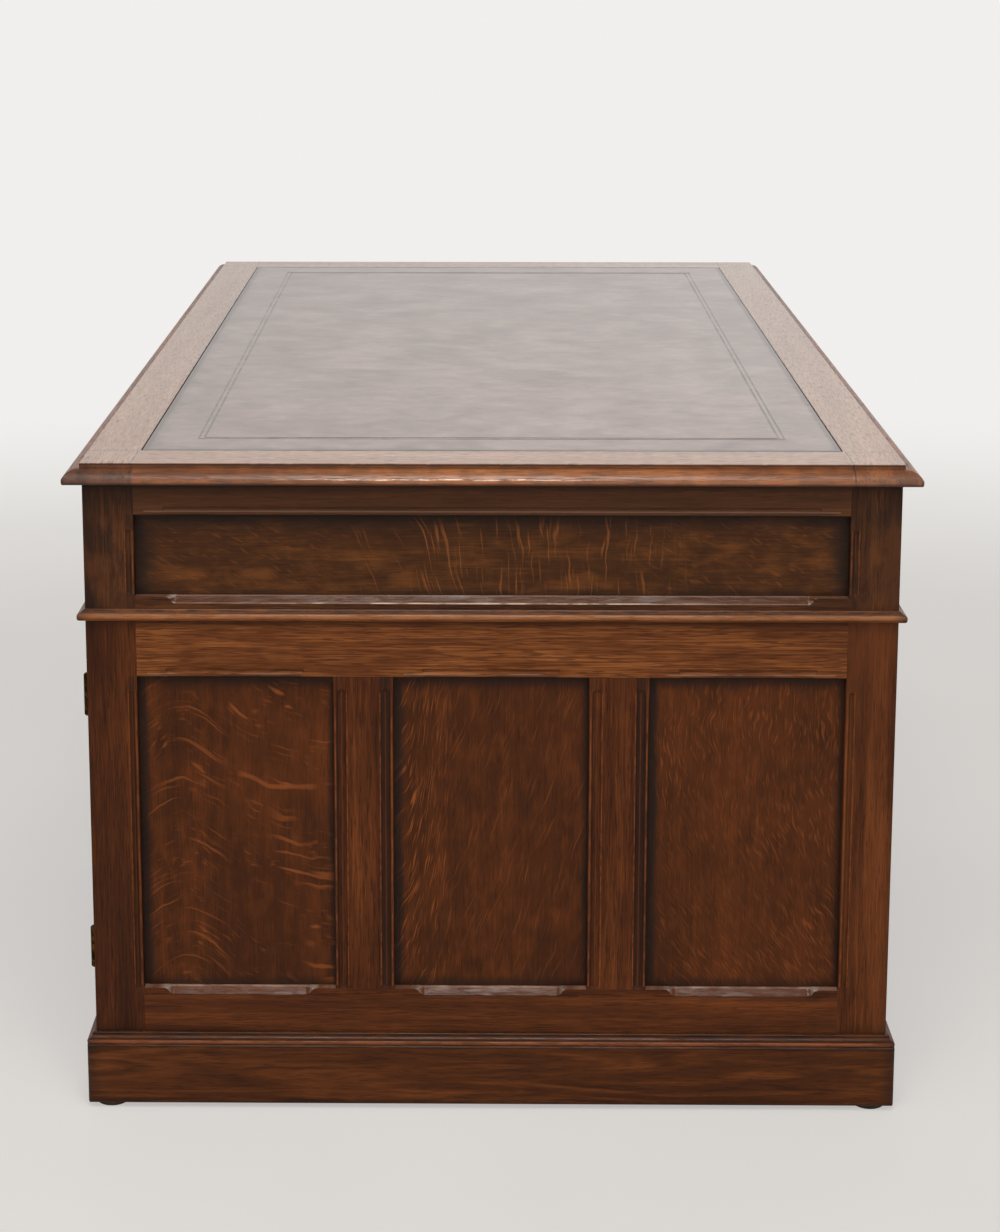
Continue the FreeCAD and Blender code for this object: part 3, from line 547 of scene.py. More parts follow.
# Along the waist: a dark line at its top, a grey painted highlight below it, and a pale band along the bead.
planted_finish("waist_oak", ["waist_moulding"], waist_tints, 0.3,
               [(waist_high.z - 0.0014, 0.0018, 0.8, dust_and_shade_black),
                (waist_high.z - 0.0038, 0.0006, 0.6, stain(120, 104, 92)),
                (waist_low.z + 0.0060, 0.0030, 0.5, stain(176, 112, 66))])
plinth_low, plinth_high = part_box("plinth_boards")
plinth_tints = (stain(58, 28, 10), stain(81, 42, 15), stain(108, 59, 25))
# Along the plinth: dark lines at its top and in the quirk, a worn line on its bead, and a darker band along
# its foot.
planted_finish("plinth_oak", ["plinth_boards"], plinth_tints, 0.6,
               [(plinth_high.z - 0.0022, 0.0024, 0.75, blackish_brown),
                (plinth_high.z - 0.0095, 0.0028, 0.6, worn_oak),
                (plinth_high.z - 0.0148, 0.0012, 0.9, blackish_brown),
                (plinth_low.z + 0.0040, 0.0060, 0.5, blackish_brown)])

# The feet. Four plain oak blocks are glued under each plinth's corners. They were never waxed, and
# mopping has turned them grey-brown.

feet = Finish("foot_blocks", ["feet"])
grit = cloud(feet.x * 120.0, feet.y * 120.0, feet.z * 120.0, 3.0)
feet.paint(tinted(grit, stain(36, 24, 17), stain(52, 35, 25), stain(72, 50, 36)), 0.7, grit, 0.0006)

# The top. Two long boards and two end boards of oak are framed round a sunk core for the leather.
# Their outer edge is worked to a thumbnail below a small upright step. The flat has been bleached
# and rubbed paler than the case, and the pores have stayed dark.

top_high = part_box("top_long_boards")[1]
step_in = 0.019
top_flat_x = top_high.x - step_in
top_flat_y = top_high.y - step_in
long_board_edge = top_high.y - 0.082
leather_low, leather_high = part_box("writing_leather")
leather_x = leather_high.x + 0.0008
leather_y = leather_high.y + 0.0008


def top_finish(name, node_names, runs_along_x):
    """The top's boards: rubbed pale on the flat, dark and glossy on the moulded edge."""
    finish = Finish(name, node_names)
    x, y, z = finish.x, finish.y, finish.z
    across, along = (y, x) if runs_along_x else (x, y)
    tone, pores, blotch = oak(z, across, along)
    broad = cloud(z * 6.0, across * 30.0, along * 3.0, 3.0, 0.6, 0.6)
    mixed = tone * 0.7 + broad * 0.3
    flat = tinted(mixed, stain(147, 107, 84), stain(173, 131, 104), stain(195, 152, 123))
    edge = tinted(mixed, stain(98, 51, 22), stain(144, 84, 42), stain(176, 110, 60))
    down = top_high.z - z
    below = swing(down, 0.0005, 0.0015)
    colour = coat(below, flat, edge)
    # Painted shade on the underside of the lip.
    colour = coat(swing(down, 0.0175, 0.0205) * 0.8, colour, stain(58, 33, 20))
    colour = coat(pores * 0.5, colour, stain(60, 38, 26))
    past_flat = most(abs(x) - top_flat_x, abs(y) - top_flat_y)
    step = line(past_flat, 0.0002, 0.0012) * swing(down, 0.0004, 0.0010)
    black_line = step * swing(down, 0.0036, 0.0024)
    colour = coat(most(black_line * 0.85, step * 0.4), colour, stain(36, 22, 15))
    on_end = abs(x) - top_flat_x > 0.0
    rightward = finish.rightward()
    left = rightward < 0.0
    # The moulded edge darkens in patches and on its end grain, more at the left end than the right.
    end_grain = on_end * swing(abs(y), long_board_edge, long_board_edge + 0.003) * below
    soil = swing(cloud(x * 14.0, y * 40.0, z * 80.0, 3.0), 0.42, 0.60)
    darkened_edge = most(soil * 0.3 * below, end_grain * (0.25 + 0.4 * left + soil * 0.3))
    rubbing = swing(cloud(x * 34.0, y * 34.0, z * 200.0, 3.0), 0.40, 0.60) * swing(abs(y), 0.30, 0.12)
    off_middle = abs(rightward + 0.05)
    gleam = line(down - rubbing * 0.0006, 0.0142, 0.0009) * swing(off_middle, 0.24, 0.06) * on_end
    gleam = gleam * swing(cloud(x, y * 60.0, z * 500.0, 4.0, 0.75), 0.38, 0.54)
    colour = coat(gleam * 0.85, colour, stain(250, 226, 206))
    silver_rays = rays(across + along * 0.2, along, 0.0016, 0.010, 3.0, 0.58, 0.72) * (1.0 - below)
    colour = coat(silver_rays * 0.4, colour, stain(222, 180, 148))
    colour = coat(darkened_edge, colour, stain(52, 30, 18))
    rim = most(least(abs(x) - leather_x, leather_y + 0.003 - abs(y)),
               least(abs(y) - leather_y, leather_x + 0.003 - abs(x)))
    ragged = swing(cloud(x * 60.0, y * 60.0, z), 0.30, 0.52)
    colour = coat(line(rim, 0.0004, 0.0014) * ragged * 0.75, colour, blackish_brown)
    finish.paint(colour, 0.30 + blotch * 0.12 + pores * 0.2,
                 tone * 0.3 - pores * 0.25 + hand_waves(x, y, z) * 0.6,
                 polish=pick(below, 0.9, 0.08 + rubbing * 0.2 + gleam * 0.5),
                 specular_ior_level=0.5, coat_roughness=0.18)


top_finish("bleached_oak_long", ["top_long_boards"], True)
top_finish("bleached_oak_end", ["top_end_boards"], False)
core = Finish("core_board", ["top_core"])
tone, pores, blotch = oak(core.z, core.y, core.x)
core.paint(coat(pores * 0.5, tinted(tone, *fumed_tints), blackish_brown), 0.5 + blotch * 0.2)

# The writing leather. One skived hide glued into the sunk top, its margin cut a little ragged by hand,
# with a blind-tooled double line rolled in along all four sides. Worn to a brown-grey bloom.


def set_in_place():
    """Puts the place, turn and size of the selected pieces into their meshes."""
    bpy.ops.object.transform_apply(location=True, rotation=True, scale=True)


def only(*chosen):
    """Makes these objects the whole selection, the last one active."""
    bpy.ops.object.select_all(action="DESELECT")
    for piece in chosen:
        piece.select_set(True)
    bpy.context.view_layer.objects.active = chosen[-1]


def settle(piece, body, slot_name, *materials):
    """Puts a finished piece's place into its mesh, gives it its finish and mounts it on a body."""
    only(piece)
    set_in_place()
    for material in materials:
        piece.data.materials.append(material)
    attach(piece, body)


def faces_where(piece, test):
    """In edit mode, selects only the faces whose centre and normal pass a test."""
    bpy.ops.mesh.select_all(action="DESELECT")
    bpy.ops.object.mode_set(mode="OBJECT")
    for face in piece.data.polygons:
        face.select = test(face.center, face.normal)
    bpy.ops.object.mode_set(mode="EDIT")


hide_x = leather_high.x
hide_y = leather_high.y
first_line = 0.057
line_gap = 0.0037
line_half = 0.0007
line_depth = 0.0005
first_line_middle = first_line + 2 * line_half
second_line_middle = first_line + line_gap + 6 * line_half

bpy.ops.object.select_all(action="DESELECT")
bpy.ops.mesh.primitive_cube_add(size=2.0, location=(0, 0, (leather_low.z + leather_high.z) / 2))
hide = bpy.context.object
hide.name = "tooled_writing_leather"
hide.scale = (hide_x, hide_y, (leather_high.z - leather_low.z) / 2)
set_in_place()
bpy.ops.object.mode_set(mode="EDIT")
bpy.ops.mesh.select_mode(type="FACE")
faces_where(hide, lambda centre, normal: normal.z > 0.9)
for before in (first_line, line_gap):
    bpy.ops.mesh.inset(thickness=before, depth=0)
    bpy.ops.mesh.inset(thickness=line_half, depth=-line_depth)
    bpy.ops.mesh.inset(thickness=2 * line_half, depth=0)
    bpy.ops.mesh.inset(thickness=line_half, depth=line_depth)
faces_where(hide, lambda centre, normal: True)
bpy.ops.mesh.subdivide(number_cuts=11, smoothness=0)
bpy.ops.object.mode_set(mode="OBJECT")
on_margin = 1e-5
for vertex in hide.data.vertices:
    at = vertex.co
    phase = at.x * 31.0 + at.y * 47.0
    pull = 0.0005 + 0.0003 * math.sin(phase * 1.7) + 0.0002 * math.sin(phase * 5.3)
    if hide_x - abs(at.x) < on_margin:
        at.x -= math.copysign(pull, at.x)
    if hide_y - abs(at.y) < on_margin:
        at.y -= math.copysign(pull, at.y)

leather = Finish("waxed_hide", [])
x, y, z = leather.x, leather.y, leather.z
grain_cells = 900.0
cells = x.node("CombineXYZ", {}, {0: x * grain_cells, 1: y * grain_cells, 2: z})
pebble = cells.node("TexVoronoi", {"feature": "DISTANCE_TO_EDGE"}, {"Vector": cells, "Scale": 1.0},
                    "Distance")
mottle = cloud(x * 4.5, y * 4.5, 2.0, 6.0, 0.66, 0.5)
smears = cloud(x * 12.0, y * 9.0, 5.0, 8.0, 0.76, 0.5)
bloom = cloud(x * 46.0, y * 24.0, 8.0, 5.0, 0.7)
hide_tone = mottle * 0.26 + smears * 0.36 + bloom * 0.38
colour = tinted(hide_tone, stain(104, 84, 79), stain(141, 117, 109), stain(175, 149, 140))
from_edge = least(hide_x - abs(x), hide_y - abs(y))
tooled = most(line(from_edge, first_line_middle, 0.0016), line(from_edge, second_line_middle, 0.0020))
tooled = tooled * (0.35 + 0.65 * swing(cloud(x * 40.0, y * 40.0, 3.0, 3.0, 0.7), 0.35, 0.55))
colour = coat(tooled * 0.75, colour, stain(40, 34, 33))
torn = cloud(x * 50.0, y * 50.0, 6.0, 4.0, 0.75)
grubby = swing(from_edge - torn * 0.010, 0.004, 0.0)
colour = coat(grubby * 0.55, colour, stain(44, 36, 34))
margin_tone = swing(from_edge, 0.050 - bloom * 0.05, 0.0) * swing(y, -0.35, 0.20) * 0.4
colour = coat(margin_tone, colour, stain(80, 70, 66))
scuffs = swing(cloud(x * 70.0, y * 18.0, 4.0, 4.0, 0.7), 0.66, 0.78)
colour = coat(scuffs * 0.2, colour, gleam_and_scuff_grey)
sheen = 0.60 + swing(smears, 0.34, 0.66) * 0.26 + bloom * 0.10
sheen = sheen - margin_tone * 0.10 - grubby * 0.15 - tooled * 0.15
leather.paint(colour, 0.24 + bloom * 0.12 + smears * 0.08, pebble * 0.08 + bloom * 0.3, 0.0005, sheen,
              specular_ior_level=0.8, coat_roughness=0.22)
settle(hide, "case", "leather", leather.material)
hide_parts("writing_leather")

# The carcase inside: tops, floors, dividers, dust boards, rails and runners. Their front edges are
# stained and waxed with the case. Behind the drawers and doors the oak was only wiped with stain.

face_y = side_high.y


def carcase_finish(name, node_names, runs):
    """Oak finished like the case on its front edges, and wiped with thin stain behind them."""
    finish = Finish(name, node_names)
    x, y, z = finish.x, finish.y, finish.z
    thick, across, along = {"x": (z, y, x), "y": (z, x, y)}[runs]
    tone, pores, blotch = oak(thick, across, along)
    shown = tinted(tone, *fumed_tints)
    hidden = tinted(tone, stain(92, 62, 39), stain(120, 84, 54), stain(142, 104, 69))
    colour = coat(swing(abs(y), face_y - 0.014, face_y - 0.009), hidden, shown)
    colour = coat(pores * 0.5, colour, blackish_brown)
    colour = coat(swing(blotch, 0.45, 0.75) * 0.3, colour, fumed_dark)
    finish.paint(colour, 0.5 + blotch * 0.2, tone * 0.5 - pores * 0.6, specular_ior_level=wax_shine)


carcase_finish("carcase_oak", ["pedestal_boards", "frieze_interior"], "y")
carcase_finish("drawer_rail_oak", ["frieze_drawer_rails", "pedestal_drawer_rails"], "x")

# The drawers. Each front is one board with a bead scratched round its face, lapped over dovetailed
# sides of thin plain oak. The fronts are finished with the case. The boxes were never polished.

drawer_names = sorted(n[:-len("_front")] for n in nodes if n.endswith("_drawer_front"))
fronts = Finish("drawer_front_oak", [name + "_front" for name in drawer_names])
x, y, z = fronts.x, fronts.y, fronts.z
seed = y * 4.0 + (x * 2.0).maths("ROUND", x * 2.0) * 3.1
wander = cloud(x * 12.0, seed, z * 12.0) - 0.5
ripple = cloud(x * 60.0, seed, z * 60.0 + 9.0, 1.0) - 0.5
tone, pores, blotch = oak(y, z, x)
colour = tinted(tone, *fumed_tints)
lean = x + z * 0.4 + wander * 0.04 + ripple * 0.003
front_rays = rays(lean, z, 0.0015, 0.020, seed) * swing(cloud(x * 6.0, y * 3.0, z * 8.0), 0.4, 0.6)
colour = coat(front_rays * 0.6, colour, panel_tints[3])
colour = coat(pores * 0.5, colour, blackish_brown)
colour = coat(swing(blotch, 0.42, 0.72) * 0.35, colour, fumed_dark)
bare = tinted(tone, stain(132, 98, 64), stain(156, 120, 82), stain(176, 138, 94))
behind_lap = swing(abs(y), face_y - 0.0062, face_y - 0.0075)
colour = coat(behind_lap, colour, bare)
pin_ends = behind_lap * (abs(fronts.facing("X")) > 0.5)
colour = coat(pin_ends * 0.5, colour, stain(84, 56, 36))
fronts.paint(colour, old_wax(blotch, pores),
             tone * 0.35 - pores * 0.5 + front_rays * 0.2 + hand_waves(x, y, z), specular_ior_level=wax_shine)

linings = Finish("drawer_lining_oak", [name + "_box" for name in drawer_names])
x, y, z = linings.x, linings.y, linings.z
tone, pores, blotch = oak(x, z, y)
colour = tinted(tone, stain(128, 95, 62), stain(160, 124, 84), stain(184, 148, 104))
colour = coat(pores * 0.5, colour, stain(78, 52, 34))
colour = coat(swing(blotch, 0.45, 0.75) * 0.3, colour, stain(110, 78, 52))
spilt = swing(cloud(x * 7.0, y * 7.0, z * 7.0 + 3.0, 4.0, 0.6), 0.60, 0.78)
colour = coat(spilt * 0.35, colour, stain(76, 56, 46))
linings.paint(colour, 0.6 + blotch * 0.15, tone * 0.5 - pores * 0.6, specular_ior_level=0.2)

# The locks. Every drawer and door has a small brass lock screwed to its back, and a keyhole lined with
# a thin brass rim that stands a hair proud of the wood. In the hole a black face of painted shade stands
# for the dark inside of the lock.

brass = Finish("aged_brass", [])
tarnish = cloud(brass.x * 140.0, brass.y * 140.0, brass.z * 140.0, 4.0, 0.65)
brass_colour = tinted(tarnish, stain(122, 92, 50), stain(158, 122, 68), stain(192, 156, 96))
brass.paint(brass_colour, 0.34 + tarnish * 0.2, tarnish, 0.0001, metallic=1.0)
# A black face of painted shade that fills each keyhole.
keyhole_shade = Finish("keyhole_painted_shade", [])
hollow_shade_and_dust = cloud(keyhole_shade.x * 300.0, keyhole_shade.y * 300.0, keyhole_shade.z * 300.0)
keyhole_shade.paint(tinted(hollow_shade_and_dust, stain(10, 8, 7), stain(16, 13, 11), stain(30, 24, 20)), 0.8)

keyhole_round = 0.0036
rim_wide = 0.0014
rim_proud = 0.0007
rim_sunk = 0.0010
skirt_length = 0.0085
skirt_angle = math.radians(37.0)
waist_angle = math.radians(52.0)
skirt_spread = 1.15
waist_pinch = 0.72
screw_radius = 0.0024
screw_head = 0.0012
screw_hair = 0.0002
slot_half = 0.00035
slot_depth = 0.0005
lock_wide = 0.052
lock_high = 0.030
lock_plate = 0.0016
lock_margin = 0.0065
lock_rise = 0.0032
lock_proud = 0.0006
screw_inset = 0.0035
key_above_lock = 0.002


def joined_copies(pattern, places, turn):
    """One piece made of copies of a pattern at several places, all turned the same way."""
    copies = []
    for place in places:
        piece = bpy.data.objects.new(pattern.name, pattern.data.copy())
        bpy.context.scene.collection.objects.link(piece)
        piece.location = place
        piece.rotation_euler = turn
        copies.append(piece)
    only(*copies)
    set_in_place()
    if len(copies) > 1:
        bpy.ops.object.join()
    return bpy.context.object


def faced_front(piece):
    """Turns a piece that was modelled face up so that it faces -Y."""
    only(piece)
    piece.rotation_euler = (math.pi / 2, 0, 0)
    set_in_place()
    return piece


def keyhole_rim():
    """A keyhole-shaped brass rim at the origin, facing -Y, with a black face of painted shade in its hole."""
    bpy.ops.object.select_all(action="DESELECT")
    bpy.ops.mesh.primitive_circle_add(vertices=24, radius=keyhole_round + rim_wide, fill_type="NGON",
                                      location=(0, 0, 0))
    rim = bpy.context.object
    for vertex in rim.data.vertices:
        angle = abs(math.atan2(vertex.co.x, -vertex.co.y))
        if angle < skirt_angle:
            vertex.co.x *= skirt_spread
            vertex.co.y -= skirt_length - (1.0 - math.cos(angle)) * 0.003
        elif angle < waist_angle:
            vertex.co.x *= waist_pinch
    bpy.ops.object.mode_set(mode="EDIT")
    bpy.ops.mesh.select_all(action="SELECT")
    bpy.ops.mesh.extrude_region_move(TRANSFORM_OT_translate={"value": (0, 0, rim_proud + rim_sunk)})
    bpy.ops.mesh.select_all(action="SELECT")
    bpy.ops.mesh.normals_make_consistent(inside=False)
    faces_where(rim, lambda centre, normal: normal.z > 0.9)
    bpy.ops.mesh.inset(thickness=rim_wide * 0.35, depth=0.00025)
    bpy.ops.mesh.inset(thickness=rim_wide * 0.5, depth=0)
    bpy.ops.mesh.inset(thickness=rim_wide * 0.15, depth=-rim_proud * 0.9)
    bpy.ops.object.mode_set(mode="OBJECT")
    hole = max(rim.data.polygons, key=lambda face: face.area * (face.normal.z > 0.9))
    hole.material_index = 1
    return faced_front(rim)


def slotted_screw():
    """A screw's head at the origin, facing -Y, sunk but for a hair."""
    bpy.ops.object.select_all(action="DESELECT")
    bpy.ops.mesh.primitive_cylinder_add(vertices=16, radius=screw_radius, depth=screw_head,
                                        location=(0, 0, screw_hair - screw_head / 2))
    screw = bpy.context.object
    bpy.ops.object.mode_set(mode="EDIT")
    for side in (slot_half, -slot_half):
        bpy.ops.mesh.select_all(action="SELECT")
        bpy.ops.mesh.bisect(plane_co=(0, side, 0), plane_no=(0, 1, 0))
    faces_where(screw, lambda centre, normal: normal.z > 0.9 and abs(centre.y) < slot_half)
    bpy.ops.mesh.inset(thickness=0.00012, depth=0)
    bpy.ops.mesh.extrude_region_move(TRANSFORM_OT_translate={"value": (0, 0, -slot_depth)})
    bpy.ops.object.mode_set(mode="OBJECT")
    return faced_front(screw)


def lock_case(fixing):
    """A lock at the origin: a plate that faces +Y, a raised case on it, and a screw at each corner."""
    bpy.ops.object.select_all(action="DESELECT")
    bpy.ops.mesh.primitive_cube_add(size=1.0, location=(0, 0, 0))
    lock = bpy.context.object
    lock.scale = (lock_wide, lock_plate, lock_high)
    set_in_place()
    bpy.ops.object.mode_set(mode="EDIT")
    bpy.ops.mesh.select_mode(type="FACE")
    faces_where(lock, lambda centre, normal: normal.y > 0.9)
    bpy.ops.mesh.inset(thickness=lock_margin, depth=0)
    bpy.ops.mesh.inset(thickness=0.0004, depth=lock_rise)
    bpy.ops.object.mode_set(mode="OBJECT")
    rounding = lock.modifiers.new("filed_edges", "BEVEL")
    rounding.width = 0.0004
    rounding.segments = 2
    only(lock)
    bpy.ops.object.modifier_apply(modifier=rounding.name)
    out, up = lock_wide / 2 - screw_inset, lock_high / 2 - screw_inset
    corners = [(i * out, lock_plate / 2 + screw_hair, k * up) for i in (-1, 1) for k in (-1, 1)]
    fixings = joined_copies(fixing, corners, (0, 0, math.pi))
    only(fixings, lock)
    bpy.ops.object.join()
    return lock


def fit_lock(name, body, middle, face, back, outward):
    """Puts a keyhole rim on a front's face and a lock on its back. Outward is -1 where it faces -Y."""
    turn = (0, 0, 0 if outward < 0 else math.pi)
    rim = joined_copies(pattern_rim, [(middle[0], face - outward * rim_sunk, middle[1])], turn)
    rim.name = name + "_keyhole"
    settle(rim, body, "brass", brass.material, keyhole_shade.material)
    lock_place = (middle[0], back - outward * lock_proud, middle[1] - key_above_lock)
    lock = joined_copies(pattern_lock, [lock_place], turn)
    lock.name = name + "_lock"
    settle(lock, body, "brass", brass.material)


pattern_rim = keyhole_rim()
pattern_screw = slotted_screw()
pattern_lock = lock_case(pattern_screw)
wide_front = 0.5
for name in drawer_names:
    low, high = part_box(name + "_front")
    outward = -1 if low.y < 0 else 1
    key_down = 0.040 if high.x - low.x > wide_front else 0.020
    faces = (low.y, high.y) if outward < 0 else (high.y, low.y)
    fit_lock(name, name, ((low.x + high.x) / 2, high.z - key_down), *faces, outward)

# The cupboard doors. Framed and panelled like the ends, and hung on the outer sides of the pedestals.
# Each has its lock and keyhole in the opening stile, above the knob.

door_low, door_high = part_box("right_door_frame")
door_inner = door_low.x + stile_wide
door_outer = door_high.x - stile_wide
door_rail_low = door_low.z + 0.072
door_rail_high = door_high.z - 0.062

doors = Finish("fumed_oak_doors", ["left_door_frame", "right_door_frame"])
x, y, z = doors.x, doors.y, doors.z
gap = most(abs(x) - door_outer, door_inner - abs(x))
colour, tone, pores, blotch = framed_oak(doors, y, x, gap, gap > 0.0, door_rail_low, door_rail_high,
                                         stile_hollow, 0.3)
chamfer = swing(z, door_rail_low - 0.0095, door_rail_low - 0.007)
chamfer = chamfer * (z < door_rail_low + 0.0005) * (gap < -0.02)
colour = coat(chamfer * (y > face_y - 0.010) * 0.45, colour, worn_oak)
doors.paint(colour, old_wax(blotch, pores),
            tone * 0.35 - pores * 0.5 + hand_waves(x, y, z), specular_ior_level=wax_shine)

door_panels = Finish("quarter_sawn_door_panels", ["left_door_panel", "right_door_panel"])
x, y, z = door_panels.x, door_panels.y, door_panels.z
seed = x.maths("SIGN", x) * 3.0
wander = cloud(x * 14.0, seed, z * 14.0) - 0.5
ripple = cloud(x * 60.0, seed, z * 60.0, 1.0) - 0.5
arch = z - (x * 28.0).maths("COSINE", x * 28.0) * 0.02 + wander * 0.03 + ripple * 0.006
bold = rays(arch, x, 0.0030, 0.016, seed + 1.0, 0.62, 0.74)
lean = x + z * 0.3 + wander * 0.03 + ripple * 0.002
thin = rays(lean, z, 0.0012, 0.020, seed + 2.0)
share = swing(cloud(x * 7.0, seed, z * 7.0), 0.42, 0.58)
flecks = bold * share * 0.8 + thin * (1.0 - share) * 0.4
flecks = flecks * (0.25 + cloud(seed + 5.0, x * 24.0, z * 24.0) * 0.7)
glow = swing(cloud(x * 9.0, seed + 4.0, z * 6.0), 0.50, 0.70) * 0.35
outside = most(abs(x) - door_outer, door_inner - abs(x))
dust_and_shade_margin = most(swing(outside, -0.010, -0.001), swing(door_rail_high - z, 0.018, 0.002)) * 0.75
panel_board(door_panels, y, x, z, flecks, glow, dust_and_shade_margin, *panel_tints)

knob_low, knob_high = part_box("right_door_knob")
key_above_knob = 0.048
for side, name in ((-1, "left_door"), (1, "right_door")):
    middle = (side * (knob_low.x + knob_high.x) / 2, (knob_low.z + knob_high.z) / 2 + key_above_knob)
    fit_lock(name, name, middle, door_high.y, door_low.y, 1)

# The hinges are solid-drawn brass butts, let in flush and held by three screws in each leaf. They were
# stained over with the case and have gone nearly as brown as the oak.

browned = Finish("browned_brass", [n for n in nodes if "hinge" in n])
film = cloud(browned.x * 140.0, browned.y * 140.0, browned.z * 140.0, 4.0, 0.65)
browned.paint(tinted(film, stain(34, 22, 14), stain(62, 42, 25), stain(118, 86, 50)), 0.38 + film * 0.3,
              film, 0.0002, metallic=1.0)
leaf_low, leaf_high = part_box("right_door_hinge_leaves")
knuckle_radius = 0.004
hinge_line = leaf_high.x - knuckle_radius
leaf_plane = 0.0008
leaf_tall = 0.048
screws_up_and_in = ((0.008, 0.006), (0.024, 0.0095), (0.040, 0.006))
leaf_hair = 0.00012
for side, name in ((-1, "left"), (1, "right")):
    for hinge, foot in (("lower", leaf_low.z), ("upper", leaf_high.z - leaf_tall)):
        for leaf, body, facing in (("door", name + "_door", 1), ("frame", "case", -1)):
            plane = side * (hinge_line - facing * leaf_plane)
            head = plane - side * facing * (screw_hair - leaf_hair)
            places = [(head, leaf_low.y + inward, foot + up) for up, inward in screws_up_and_in]
            screws = joined_copies(pattern_screw, places, (0, 0, side * facing * math.pi / 2))
            screws.name = "_".join((name, hinge, "hinge", leaf, "screws"))
            settle(screws, body, "brass", browned.material)

# The knobs. Each is turned from oak with the grain across its face, stained with the case, and polished
# by hands. A spigot on its back is glued through the front or the stile.

knobs = Finish("turned_knob_oak", [n for n in nodes if n.endswith("_knobs") or n.endswith("_door_knob")])
tone, pores, blotch = oak(knobs.y, knobs.z, knobs.x)
colour = tinted(tone, stain(36, 18, 8), stain(58, 30, 13), stain(92, 50, 24))
knobs.paint(coat(pores * 0.5, colour, blackish_brown), 0.30 + blotch * 0.14, tone * 0.2 - pores * 0.3,
            specular_ior_level=0.25)

for pattern in (pattern_rim, pattern_screw, pattern_lock):
    bpy.data.objects.remove(pattern)

# The studio. A pale floor runs away from the desk and sweeps up into a pale wall. The wall glows white
# straight on. In the polish of the top its glow is painted a little brighter towards the right.

floor_near = -9.0
floor_far = 7.0
floor_half = 16.0
wall_high = 8.0
curve_steps = 10
curve_step = 0.16

bpy.ops.object.select_all(action="DESELECT")
bpy.ops.mesh.primitive_plane_add(size=2.0, location=((floor_near + floor_far) / 2, 0, 0))
sweep = bpy.context.object
sweep.name = "studio_sweep"
sweep.scale = ((floor_far - floor_near) / 2, floor_half, 1.0)
set_in_place()
bpy.ops.object.mode_set(mode="EDIT")
bpy.ops.mesh.select_mode(type="EDGE")
bpy.ops.mesh.select_all(action="DESELECT")
bpy.ops.object.mode_set(mode="OBJECT")
for edge in sweep.data.edges:
    edge.select = all(sweep.data.vertices[i].co.x > 0 for i in edge.vertices)
bpy.ops.object.mode_set(mode="EDIT")
for i in range(curve_steps):
    turn = math.pi / 2 * (i + 0.5) / curve_steps
    bpy.ops.mesh.extrude_region_move(
        TRANSFORM_OT_translate={"value": (curve_step * math.cos(turn), 0, curve_step * math.sin(turn))})
bpy.ops.mesh.extrude_region_move(TRANSFORM_OT_translate={"value": (0, 0, wall_high)})
bpy.ops.object.mode_set(mode="OBJECT")
bpy.ops.object.shade_smooth()
paper = Finish("studio_paint", [])
paper_tone = cloud(paper.x * 1.5, paper.y * 1.5, paper.z)
paper.paint(tinted(paper_tone, stain(212, 209, 205), stain(216, 213, 209), stain(220, 217, 213)), 0.9,
            specular_ior_level=0.1)
wall_white = (0.88, 0.865, 0.85, 1.0)
glowing = paper_tone.node("Emission", {}, {"Color": wall_white, "Strength": 1.0})
ray_names = ("Is Camera Ray", "Is Glossy Ray", "Is Transmission Ray")
seen_straight, in_polish, through = [paper_tone.node("LightPath", {}, {}, name) for name in ray_names]
far_off = swing(paper.x + abs(paper.y) * 0.25, 1.2, 3.4)
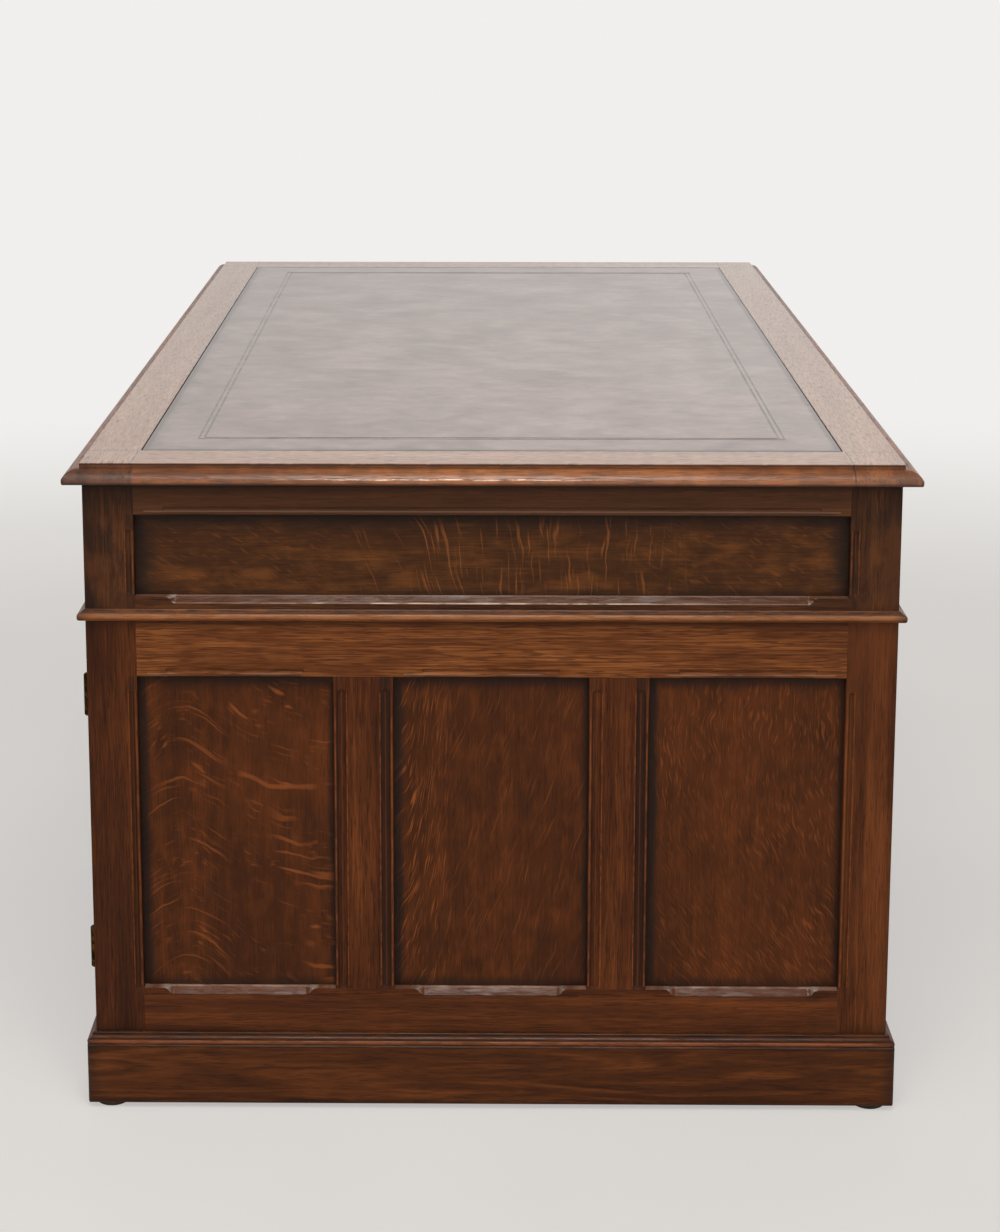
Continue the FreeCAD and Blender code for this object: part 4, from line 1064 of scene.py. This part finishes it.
# The wall's glow, as the polish reflects it, is painted brighter towards the right.
brighter_right_glow = 0.82 + 0.18 * swing(paper.y, 1.8, -1.8)
seen = most(seen_straight * (0.5 + 0.5 * far_off), most(in_polish, through) * far_off * brighter_right_glow)
plain = Wire(paper.tree, paper.shader.outputs[0])
both = paper_tone.node("MixShader", {}, {0: seen, 1: plain, 2: glowing})
paper.tree.links.new(both.socket, paper.tree.nodes["Material Output"].inputs["Surface"])
sweep.data.materials.append(paper.material)

world = bpy.data.worlds.new("studio_air")
bpy.context.scene.world = world
world.use_nodes = True
air = world.node_tree.nodes["Background"].inputs
air["Color"].default_value = (1.0, 0.975, 0.945, 1.0)
air["Strength"].default_value = 0.34


def lamp(name, place, aim, size, power, tint):
    """A soft square studio light that faces a point."""
    data = bpy.data.lights.new(name, "AREA")
    data.size = size
    data.energy = power
    data.color = tint
    light = bpy.data.objects.new(name, data)
    light.visible_camera = False
    bpy.context.scene.collection.objects.link(light)
    light.location = place
    light.rotation_mode = "QUATERNION"
    light.rotation_quaternion = (Vector(aim) - Vector(place)).to_track_quat("-Z", "Y")
    return light


warm_day = (1.0, 0.96, 0.91)
plain_day = (1.0, 0.96, 0.92)
near_end = (-0.7, 0, 0.4)
lamp("right_softbox", (-4.6, -3.2, 2.9), near_end, 3.4, 64.0, warm_day)
lamp("left_softbox", (-4.6, 3.4, 2.9), near_end, 3.4, 56.0, warm_day)
lamp("overhead_softbox", (-2.2, 0, 3.4), (-0.5, 0, 0.6), 1.4, 52.0, plain_day)
far_fill = lamp("far_fill", (4.6, 0, 2.9), (0.6, 0, 0.3), 3.0, 44.0, plain_day)
far_fill.visible_glossy = False

# The viewpoint. Someone stands about two and a half metres from one end of the desk, with their eyes
# well above the top, and sees that end square on.

standpoint = Vector((-3.2043, 0.0129, 1.3914))
forward = Vector((0.98727, 0.00918, -0.15882)).normalized()
to_right = forward.cross(Vector((0, 0, 1))).normalized()
upward = to_right.cross(forward)
eye = bpy.data.cameras.new("end_view")
eye.sensor_width = 36.0
eye.lens = 65.516
eye.shift_x = 0.0325
eye.shift_y = -0.2768
camera = bpy.data.objects.new("end_view", eye)
bpy.context.scene.collection.objects.link(camera)
turn = Matrix((to_right, upward, -forward)).transposed().to_4x4()
camera.matrix_world = Matrix.Translation(standpoint) @ turn
bpy.context.scene.camera = camera
bpy.context.scene.view_settings.view_transform = "Standard"
